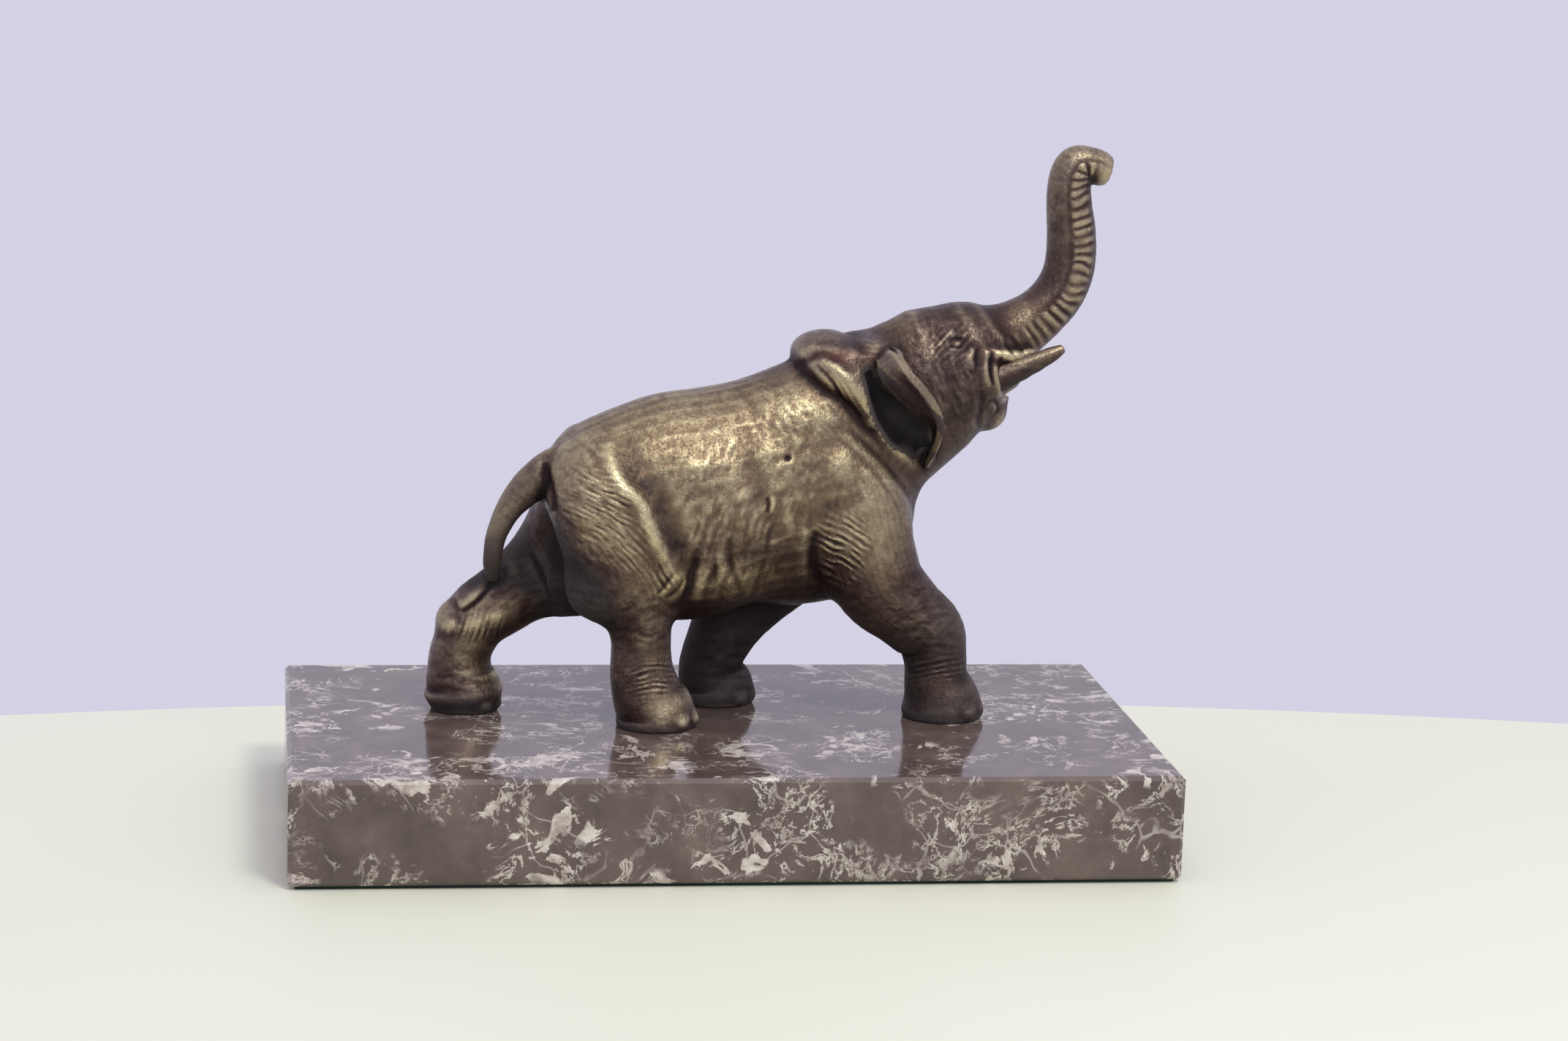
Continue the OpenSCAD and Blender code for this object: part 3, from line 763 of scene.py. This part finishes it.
# How far outside the skin it is read.
PACKING_OUT = 2.5


def metal_near(clay, skin):
    """The share of the space round each point that is metal."""
    full = (clay.field[::PACKING_STEP, ::PACKING_STEP, ::PACKING_STEP] < 0).astype(np.float32)
    window = 2 * PACKING_REACH + 1
    for _ in range(2):
        for axis in range(3):
            edge = [(0, 0)] * 3
            edge[axis] = (PACKING_REACH + 1, PACKING_REACH)
            run = np.cumsum(np.pad(full, edge, mode="edge"), axis=axis)
            ahead = np.take(run, range(window, run.shape[axis]), axis=axis)
            behind = np.take(run, range(run.shape[axis] - window), axis=axis)
            full = (ahead - behind) / window
    at = skin.points + PACKING_OUT * skin.normals - clay.low
    at = at / (clay.voxel * PACKING_STEP)
    at = np.clip(at, 0, np.array(full.shape) - 1.001)
    low = at.astype(int)
    return blended(full, low, at - low)


# Painted shade on the side view from the right: centre, radii, and how much darker. The groin is
# in painted shade; the flank's low patches, head, collar and far hind foot are darker; below 0
# is lighter, on the far hind leg and as a painted highlight on the lip fold over the tusk.
SHADES = [
    ((-74, 30), (12, 12), -0.15), ((4, 51), (24, 9), 0.18), ((-5.5, 44), (4, 6), 0.25),
    ((62, 106), (14, 14), 0.18), ((37, 97), (8, 11), 0.2), ((42, 88), (6, 8), 0.2),
    ((-45, 38), (9, 9), 1.2), ((-39, 35), (5, 5), 0.6), ((-77, 7), (14, 4.5), 0.6),
    ((83, 108), (9, 2.2), -0.2),
]


def patina_and_shade_of(clay, skin):
    """From 0, rubbed bright, to 1, black: patina by the metal round a point and the wear it
    gets, with painted shade on undersides, rear faces and shadowed hollows, and painted
    highlights where ovals lighten.
    """
    x, y, z = skin.points.T
    ahead, aside, up = skin.normals.T
    u, v = seen(skin.points, REACH + y)
    inside = unit(1 - aside * np.sign(y) * 2)
    inside = np.maximum(inside, unit((10 - np.abs(y)) / 3))
    # Darker where much metal stands round a point: patina in hollows, and painted shade there
    # too.
    dark = unit(2.2 * (metal_near(clay, skin) - 0.45))
    # Painted shade on undersides and on the legs' rear faces, turned from the key light; darker
    # towards the bottom and at the soles.
    dark += 0.25 * unit(0.1 - up)
    dark += 0.15 * unit(-2 * up - 0.6) * unit((46 - z) / 8)
    dark += 0.7 * unit(1 - z / 3.5)
    dark += 0.26 * unit((62 - z) / 22)
    dark += 0.22 * unit(-1.4 * ahead) * unit((56 - z) / 10)
    # Darker on the head, nape, trunk, above all its front, and tail; painted shade on the
    # trunk's back, turned from the key light.
    dark += 0.46 * unit((x - 44) / 20) * np.clip((98 - x) / 20, 0.4, 1)
    dark += 0.32 * unit((z - 96) / 8) * unit((52 - x) / 8)
    dark += 0.2 * unit((x - 85) / 8) * unit(0.3 - 1.5 * ahead)
    dark += 0.35 * unit(3 * ahead - 1.4) * (x > 85)
    dark += 0.12 * unit((x - 90) / 8)
    dark += 0.56 * unit((-50 - x) / 5) * unit((z - 34) / 4)
    for centre, radii, more in SHADES:
        dark += more * oval(u, v, centre, radii)
    # The belly's low edge lighter, and the core plug's dark dot; painted shade behind the near
    # thigh and on the inner sides of the left legs, which lie in the body's shadow.
    dark -= 0.6 * oval(u, v, (2, 41), (22, 6)) * (y < 0)
    dark += 0.9 * oval(u, v, CORE_PLUG, (0.8, 0.8)) * (y < 0)
    dark += 0.9 * oval(u, v, (-50, 49), (6, 14)) * np.maximum(inside, ahead < -0.6)
    dark += 1.2 * oval(u, v, (4, 22), (22, 26)) * (y > 2) * inside
    # Painted highlights on the nails that show; painted shade in the hollows behind the ears,
    # and their backs darker.
    dark -= 0.35 * oval(u, v, (-19, 5), (5, 3)) * (z > 2)
    dark -= 0.35 * oval(u, v, (65, 9), (4, 4)) * (z > 2)
    folded = np.stack([x, np.abs(y), z], 1)
    dark += unit(1.9 - 1.2 * np.abs(clay.depth_in(hollow(), folded)))
    dark += 0.4 * oval(u, v, (54, 96), (9, 12)) * unit((np.abs(y) - 16.5) / 2)
    return unit(dark)


def rust_of(skin):
    """Where the metal is redder: an ear's back, the fold under the nape's roll, the tail."""
    red = 0.9 * oval(skin.u, skin.v, (51, 99), (6, 6)) * (np.abs(skin.points[:, 1]) > 17)
    red += 0.6 * oval(skin.u, skin.v, (31, 108), (8, 3))
    red += 0.4 * oval(skin.u, skin.v, (-64, 50), (4, 5))
    return unit(red)


KEYS_PER_MM = 500


def place_keys(points):
    """One whole number for each point's place, the same wherever that point is made."""
    cells = np.rint((points - CLAY_LOW) * KEYS_PER_MM).astype(np.int64)
    return (cells[:, 0] << 40) + (cells[:, 1] << 20) + cells[:, 2]


# A cut's flat end lies at least this deep inside the metal.
END_DEPTH = 1.6
# Feet stay flat below this height.
SOLE_TOP = 0.7


class WorkedSkin:
    """The whole skin after work_skin, from which each piece takes its points."""

    def __init__(self, clay):
        points, quads = clay.skin()
        skin = Skin(points, quads)
        work_skin(skin)
        skin.push[points[:, 2] < SOLE_TOP] = 0
        self.worked = points + skin.push[:, None] * skin.normals
        self.normals = Skin(self.worked, quads).normals
        self.looks = {
            "relief": relief_of(self.worked, quads),
            "patina_and_shade": patina_and_shade_of(clay, skin),
            "rust": rust_of(skin),
        }
        keys = place_keys(points)
        self.order = np.argsort(keys)
        self.keys = keys[self.order]
        self.clay = clay

    def sunk(self, points):
        """Points of a cut's flat end, moved in from the skin so that none can show."""
        at = np.rint((points - self.clay.low) / self.clay.voxel).astype(int)
        at = np.clip(at, 1, self.clay.count - 2)
        field = self.clay.field
        sides = np.eye(3, dtype=int)
        out = np.stack([field[tuple((at + n).T)] - field[tuple((at - n).T)] for n in sides], 1)
        out /= np.maximum(np.linalg.norm(out, axis=1, keepdims=True), 1e-6)
        return points - out * np.maximum(END_DEPTH + field[tuple(at.T)], 0)[:, None]

    def taken(self, points):
        """The worked places of points of a piece, their looks, and their normals."""
        keys = place_keys(points)
        at = np.minimum(np.searchsorted(self.keys, keys), len(self.keys) - 1)
        found = self.keys[at] == keys
        source = self.order[at]
        worked = np.where(found[:, None], self.worked[source], self.sunk(points))
        looks = {name: np.where(found, look[source], 0) for name, look in self.looks.items()}
        looks["patina_and_shade"][~found] = 1
        return worked, looks, np.where(found[:, None], self.normals[source], 0)


def new_object(name, data):
    made = bpy.data.objects.new(name, data)
    bpy.context.collection.objects.link(made)
    return made


def bronze_piece(name, points, quads, looks, normals=None):
    """A smooth mesh from points in the elephant's own frame, with what its patina needs."""
    mesh = bpy.data.meshes.new(name)
    matrix = np.array(TO_ROW)
    row = points @ matrix[:3, :3].T + matrix[:3, 3]
    mesh.from_pydata(row, [], quads, shade_flat=False)
    for key, values in looks.items():
        layer = mesh.attributes.new(key, "FLOAT", "POINT")
        layer.data.foreach_set("value", values.astype(np.float32))
    if normals is not None:
        turned = normals @ np.array(TO_ROW.to_3x3().normalized()).T
        mesh.normals_split_custom_set_from_vertices(turned)
    piece = new_object(name, mesh)
    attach(piece, "root")
    return piece


# ---------------- materials
class Nodes:
    """A material's node tree, built by short calls."""

    def __init__(self, name):
        self.material = bpy.data.materials.new(name)
        self.material.use_nodes = True
        self.tree = self.material.node_tree
        self.tree.nodes.clear()
        self.shader = self.add("ShaderNodeBsdfPrincipled")
        output = self.add("ShaderNodeOutputMaterial")
        self.put(self.shader.outputs["BSDF"], output.inputs["Surface"])
        self.place = self.add("ShaderNodeTexCoord").outputs["Object"]

    def put(self, value, socket):
        """Links a value that comes from another node, or sets a plain one."""
        if isinstance(value, bpy.types.NodeSocket):
            self.tree.links.new(value, socket)
        else:
            socket.default_value = value

    def add(self, kind, **values):
        """A node, with its settings and its inputs by name."""
        node = self.tree.nodes.new(kind)
        for key, value in values.items():
            if hasattr(node, key):
                setattr(node, key, value)
            else:
                self.put(value, node.inputs[key.replace("_", " ")])
        return node

    def attribute(self, name):
        return self.add("ShaderNodeAttribute", attribute_name=name).outputs["Fac"]

    def mapped(self, scale, rotation=(0, 0, 0)):
        node = self.add("ShaderNodeMapping", Vector=self.place, Scale=scale, Rotation=rotation)
        return node.outputs["Vector"]

    def noise(self, scale, detail=5.0, roughness=0.55, distortion=0.0, where=None):
        node = self.add("ShaderNodeTexNoise", Scale=scale, Detail=detail, Roughness=roughness)
        self.put(distortion, node.inputs["Distortion"])
        self.put(where or self.place, node.inputs["Vector"])
        return node.outputs["Fac"]

    def ramp(self, value, *stops):
        """Colours or greys between places on a scale from 0 to 1."""
        node = self.add("ShaderNodeValToRGB", Fac=value)
        row = node.color_ramp.elements
        while len(row) < len(stops):
            row.new(0.5)
        for element, (place, colour) in zip(row, stops, strict=True):
            element.position = place
            element.color = (*colour, 1) if isinstance(colour, tuple) else (colour,) * 3 + (1,)
        return node.outputs["Color"]

    def mix(self, share, a, b, blend="MIX"):
        node = self.add("ShaderNodeMix", data_type="RGBA", blend_type=blend)
        for socket, value in ((0, share), (6, a), (7, b)):
            self.put((*value, 1) if isinstance(value, tuple) else value, node.inputs[socket])
        return node.outputs[2]

    def maths(self, operation, a, b):
        node = self.add("ShaderNodeMath", operation=operation)
        self.put(a, node.inputs[0])
        self.put(b, node.inputs[1])
        return node.outputs[0]

    def times(self, a, b):
        return self.maths("MULTIPLY", a, b)

    def bump(self, height, distance, strength=1.0, under=None):
        node = self.add("ShaderNodeBump", Strength=strength, Distance=distance, Height=height)
        if under is not None:
            self.put(under, node.inputs["Normal"])
        return node.outputs["Normal"]

    def use(self, **sockets):
        """The material, once the shader's own sockets are linked or set."""
        for name, value in sockets.items():
            self.put(value, self.shader.inputs[name.replace("_", " ")])
        return self.material


WARM_BROWN = (0.13, 0.075, 0.055)
RUST_RED = (0.22, 0.085, 0.05)
# What patina and painted shade leave of the metal's colour, part way and where it is black.
SHADE_VEIL = (0.345, 0.29, 0.38)
BLACK_VEIL = (0.12, 0.11, 0.17)


def bronze(name, dark, mid, worn):
    """Patinated bronze: dark in its folds, brown on its flanks, and rubbed on its ridges, with
    painted shade and patina from its points darkening it towards black.
    """
    n = Nodes(name)
    relief, patina_and_shade, rust = map(n.attribute, ("relief", "patina_and_shade", "rust"))
    cloud = n.maths("SUBTRACT", n.noise(45, 5, 0.6), 0.5)
    fine = n.maths("SUBTRACT", n.noise(900, 4, 0.6), 0.5)
    rubbed = n.maths("ADD", relief, n.times(cloud, 0.35))
    rubbed = n.maths("ADD", rubbed, n.times(fine, 0.2))
    colour = n.ramp(rubbed, (0.2, dark), (0.5, mid), (0.85, worn))
    warm = n.ramp(n.noise(35, 4), (0.45, 0), (0.75, 1))
    colour = n.mix(n.times(warm, 0.2), colour, WARM_BROWN)
    spots = n.ramp(n.noise(260, 5, 0.65), (0.38, 0.15), (0.6, 1))
    colour = n.mix(n.times(rust, spots), colour, RUST_RED)
    # The points' painted shade and patina, mottled, tint the colour towards black and make the
    # metal rougher and less metallic; open ridges keep their rubbed colour.
    deep = n.maths("ADD", patina_and_shade, n.times(cloud, 0.25))
    patina_and_shade_tint = n.ramp(deep, (0, (1, 1, 1)), (0.35, SHADE_VEIL), (0.95, BLACK_VEIL))
    ridge = n.ramp(rubbed, (0.62, 0), (1, 0.75))
    open_ridge = n.times(ridge, n.ramp(patina_and_shade, (0.3, 1), (0.75, 0)))
    colour = n.mix(n.maths("SUBTRACT", 1.0, open_ridge), colour, patina_and_shade_tint, "MULTIPLY")
    rough = n.ramp(rubbed, (0.2, 0.52), (0.5, 0.38), (0.85, 0.24))
    rough = n.maths("MAXIMUM", rough, n.ramp(deep, (0.5, 0.3), (1, 0.75)))
    metallic = n.ramp(deep, (0.5, 0.85), (1, 0.3))
    brushed = n.noise(900, 4, 0.6, 0.5, n.mapped((1.3, 1, 0.4), (0, 0.35, 0)))
    pits = n.ramp(n.noise(1300, 3), (0.3, 0), (0.45, 1))
    grain = n.bump(n.noise(650, 5, 0.65), 0.0003, 0.4)
    grain = n.bump(brushed, 0.00035, 0.5, grain)
    normal = n.bump(pits, 0.00012, 0.6, grain)
    return n.use(Base_Color=colour, Metallic=metallic, Roughness=rough, Normal=normal)


STONE_DARK = (0.075, 0.052, 0.044)
STONE_MID = (0.115, 0.083, 0.07)
STONE_PALE = (0.17, 0.127, 0.106)
VEIN_GREY = (0.34, 0.28, 0.23)
VEIN_CREAM = (0.74, 0.68, 0.6)


def marble():
    """Polished brown-grey marble with cream veins, shell pieces and faint clouds."""
    n = Nodes("veined_marble")
    bend = n.add("ShaderNodeTexNoise", Vector=n.place, Scale=30.0, Detail=3.0)
    bent = n.add("ShaderNodeVectorMath", operation="MULTIPLY_ADD")
    for socket, value in enumerate((bend.outputs["Color"], (0.03, 0.03, 0.03), n.place)):
        n.put(value, bent.inputs[socket])
    where = bent.outputs["Vector"]
    ground = n.noise(60, 8, 0.65)
    ground = n.ramp(ground, (0.3, STONE_DARK), (0.5, STONE_MID), (0.7, STONE_PALE))
    cells = n.add("ShaderNodeTexVoronoi", feature="DISTANCE_TO_EDGE", Vector=where, Scale=38)
    cracks = n.ramp(cells.outputs["Distance"], (0, 0.5), (0.006, 0.5), (0.012, 0))
    spread = n.ramp(n.noise(42, 4), (0.46, 0), (0.54, 1))
    veins = n.noise(62, 7, 0.72, 0.5, where)
    veins = n.ramp(veins, (0.478, 0), (0.492, 1), (0.504, 1), (0.518, 0))
    pieces = n.ramp(n.noise(90, 7, 0.6, 0.9), (0.565, 0), (0.58, 1))
    around = n.ramp(n.noise(50, 3), (0.48, 0), (0.54, 1))
    pale = n.times(n.maths("MAXIMUM", cracks, veins), spread)
    pale = n.maths("MAXIMUM", pale, n.times(pieces, around))
    cream = n.ramp(n.noise(220, 5, 0.7), (0.3, VEIN_GREY), (0.65, VEIN_CREAM))
    colour = n.mix(pale, ground, cream)
    rough = n.ramp(n.noise(300, 4), (0.3, 0.06), (0.7, 0.15))
    return n.use(Base_Color=colour, Roughness=rough, Specular_IOR_Level=0.5)


def felt():
    """Dark green pressed felt."""
    n = Nodes("pressed_felt")
    fibres = n.noise(1400, 6, 0.7, 1.5, n.mapped((1, 1, 4)))
    colour = n.ramp(fibres, (0.3, (0.008, 0.02, 0.014)), (0.7, (0.03, 0.07, 0.045)))
    rough = n.ramp(fibres, (0.3, 0.9), (0.7, 1.0))
    return n.use(Base_Color=colour, Roughness=rough, Normal=n.bump(fibres, 0.0003))


def zinc():
    """Zinc plated steel with a faint yellow bloom and rolling marks."""
    n = Nodes("zinc_plate")
    marks = n.noise(500, 5, 0.6, where=n.mapped((1, 1, 12)))
    bloom = n.noise(200, 4)
    colour = n.ramp(bloom, (0.35, (0.52, 0.52, 0.54)), (0.65, (0.66, 0.64, 0.58)))
    rough = n.ramp(marks, (0.3, 0.28), (0.7, 0.5))
    normal = n.bump(marks, 0.00004, 0.6)
    return n.use(Base_Color=colour, Metallic=1.0, Roughness=rough, Normal=normal)


def dress(obj, material):
    obj.data.materials.clear()
    obj.data.materials.append(material)


# ---------------- pieces
# Patina in folds, on flanks and on ridges.
BODY_PATINA = (0.05, 0.036, 0.03), (0.2, 0.143, 0.088), (0.6, 0.52, 0.31)
TUSK_PATINA = (0.05, 0.036, 0.032), (0.11, 0.078, 0.066), (0.32, 0.25, 0.16)
# The neck joint's x and z, and its lean back from upright.
NECK_JOINT = (49.5, 88)
NECK_LEAN = math.tan(math.radians(26))
# The waist is cut between the right hind foot and the left fore foot.
WAIST = -8.5
WAIST_SLANT = 0.3
# Each piece runs on this far past its cut, a hair below its neighbour's skin.
LAP = 1.5
LAP_SINK = 0.04
TUSK_VOXEL = 0.3
TUSK_ROOM = 8


def behind_neck(x, y, z):
    """How far a point lies behind the neck joint, which runs back round each ear's root."""
    round_ear = 5 * oval(np.abs(y), z, (21, 102.5), (2.6, 6))
    return NECK_JOINT[0] - NECK_LEAN * (z - NECK_JOINT[1]) - x - round_ear


def ahead_of_waist(x, y, _):
    """How far a point lies ahead of the waist, along x."""
    return x + WAIST_SLANT * y - WAIST


def off_forequarters(x, y, z):
    """How far a point lies behind the waist or ahead of the neck joint."""
    return -np.minimum(ahead_of_waist(x, y, z), behind_neck(x, y, z))


def main_part(points, quads):
    """The largest connected part of a mesh, without the crumbs that a cut leaves."""
    label = np.arange(len(points))
    before = None
    while before is None or (before != label).any():
        before = label.copy()
        np.minimum.at(label, quads.ravel(), np.repeat(label[quads].min(1), 4))
        label = label[label[label]]
    quads = quads[label[quads[:, 0]] == np.bincount(label).argmax()]
    kept = np.unique(quads)
    return points[kept], np.searchsorted(kept, quads)


PIECES = {
    "hindquarters": (ahead_of_waist, ("body_casting", "tail")),
    "forequarters": (off_forequarters, ("body_casting", "core_plug")),
    "head": (behind_neck, ("head_casting", "right_ear", "left_ear")),
}


def make_elephant():
    clay = sculpt()
    whole = WorkedSkin(clay)
    metal = bronze("dark_bronze", *BODY_PATINA)
    for name, (beyond, nodes) in PIECES.items():
        points, quads = main_part(*clay.skin(beyond, LAP))
        worked, looks, normals = whole.taken(points)
        inner = unit(beyond(*points.T) * 2)
        worked -= normals * (LAP_SINK * inner)[:, None]
        piece = bronze_piece("elephant_" + name, worked, quads, looks, normals)
        dress(piece, metal)
        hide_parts(*nodes)


def make_tusks():
    metal = bronze("tusk_bronze", *TUSK_PATINA)
    rows = np.array(TUSK)
    low, high = rows[:, :3].min(0), rows[:, :3].max(0)
    clay = Clay(low - TUSK_ROOM, high + TUSK_ROOM, TUSK_VOXEL)
    clay.join(sweep(TUSK), 1)
    points, quads = clay.skin()
    grain = 0.1 * noise(points / (4, 1.2, 1.2), 31)
    points = points + Skin(points, quads).normals * grain[:, None]
    # Painted shade on the tusks' undersides, lighter on their tops, as the light falls.
    patina_and_shade = unit(0.36 - 0.7 * Skin(points, quads).normals[:, 2])
    looks = {"relief": relief_of(points, quads), "patina_and_shade": patina_and_shade}
    for side, name in ((RIGHT, "right_tusk"), (LEFT, "left_tusk")):
        turned = quads if side == LEFT else quads[:, ::-1]
        piece = bronze_piece("sculpted_" + name, points * (1, side, 1), turned, looks)
        dress(piece, metal)
        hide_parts(name)


def make_camera():
    """A long lens before the right flank, a little above, turned and tilted to the right."""
    yaw, pitch, roll = (math.radians(a) for a in (7.84, 10.92, 1.71))
    turned = Matrix.Rotation(-yaw, 3, "Z") @ Matrix.Rotation(-pitch, 3, "X")
    ahead = turned @ Vector((0, 1, 0))
    data = bpy.data.cameras.new("camera")
    data.sensor_width = 36
    data.lens = 89.1
    data.clip_end = 20
    camera = new_object("camera", data)
    camera.rotation_mode = "QUATERNION"
    level = ahead.to_track_quat("-Z", "Y")
    tilt = Matrix.Rotation(roll, 4, "Z").to_quaternion()
    camera.rotation_quaternion = level @ tilt
    camera.location = (-0.1329, -1.0995, 0.3043)
    bpy.context.scene.camera = camera


def table_paint():
    n = Nodes("table_paint")
    colour = n.ramp(n.noise(3, 2), (0.3, (0.78, 0.79, 0.64)), (0.7, (0.81, 0.82, 0.67)))
    return n.use(Base_Color=colour, Roughness=0.5)


TABLE_RADIUS = 1.235
TABLE_FORWARD = 1.085
TABLE_CORNERS = 256


def make_stage():
    """A round pale table top. The world's pale lavender stands behind it."""
    rim = []
    for n in range(TABLE_CORNERS):
        a = 2 * math.pi * n / TABLE_CORNERS
        rim.append((TABLE_RADIUS * math.cos(a), TABLE_RADIUS * math.sin(a) - TABLE_FORWARD, 0))
    mesh = bpy.data.meshes.new("table_top")
    mesh.from_pydata(rim, [], [list(range(TABLE_CORNERS))])
    top = new_object("table_top", mesh)
    dress(top, table_paint())


def make_light(name, place, target, size, watts, colour):
    data = bpy.data.lights.new(name, "AREA")
    data.shape = "RECTANGLE"
    data.size, data.size_y = size
    data.energy = watts
    data.color = colour
    lamp = new_object(name, data)
    lamp.location = place
    lamp.rotation_mode = "QUATERNION"
    aim = Vector(target) - Vector(place)
    lamp.rotation_quaternion = aim.to_track_quat("-Z", "Y")


def make_lights():
    middle = (0, 0, 0.1)
    make_light("top", (0.1, -0.3, 1.4), (0, 0.05, 0), (1.2, 1.0), 4, (1, 0.98, 0.94))
    make_light("key", (0.45, -1.05, 1.5), middle, (0.4, 0.4), 12.5, (0.98, 1, 0.93))
    world = bpy.data.worlds.new("pale_room")
    world.use_nodes = True
    back = world.node_tree.nodes["Background"]
    back.inputs["Color"].default_value = (0.66, 0.64, 0.78, 1)
    back.inputs["Strength"].default_value = 1
    bpy.context.scene.world = world


def dress_cad_nodes():
    """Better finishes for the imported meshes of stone, felt and steel."""
    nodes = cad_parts
    steel = zinc()
    dress(nodes["marble_base"], marble())
    dress(nodes["felt_pad"], felt())
    for name, obj in nodes.items():
        if name.endswith(("stud", "washer", "nut")):
            dress(obj, steel)


make_camera()
make_stage()
make_lights()
make_elephant()
make_tusks()
dress_cad_nodes()
bpy.context.scene.view_settings.view_transform = "Standard"
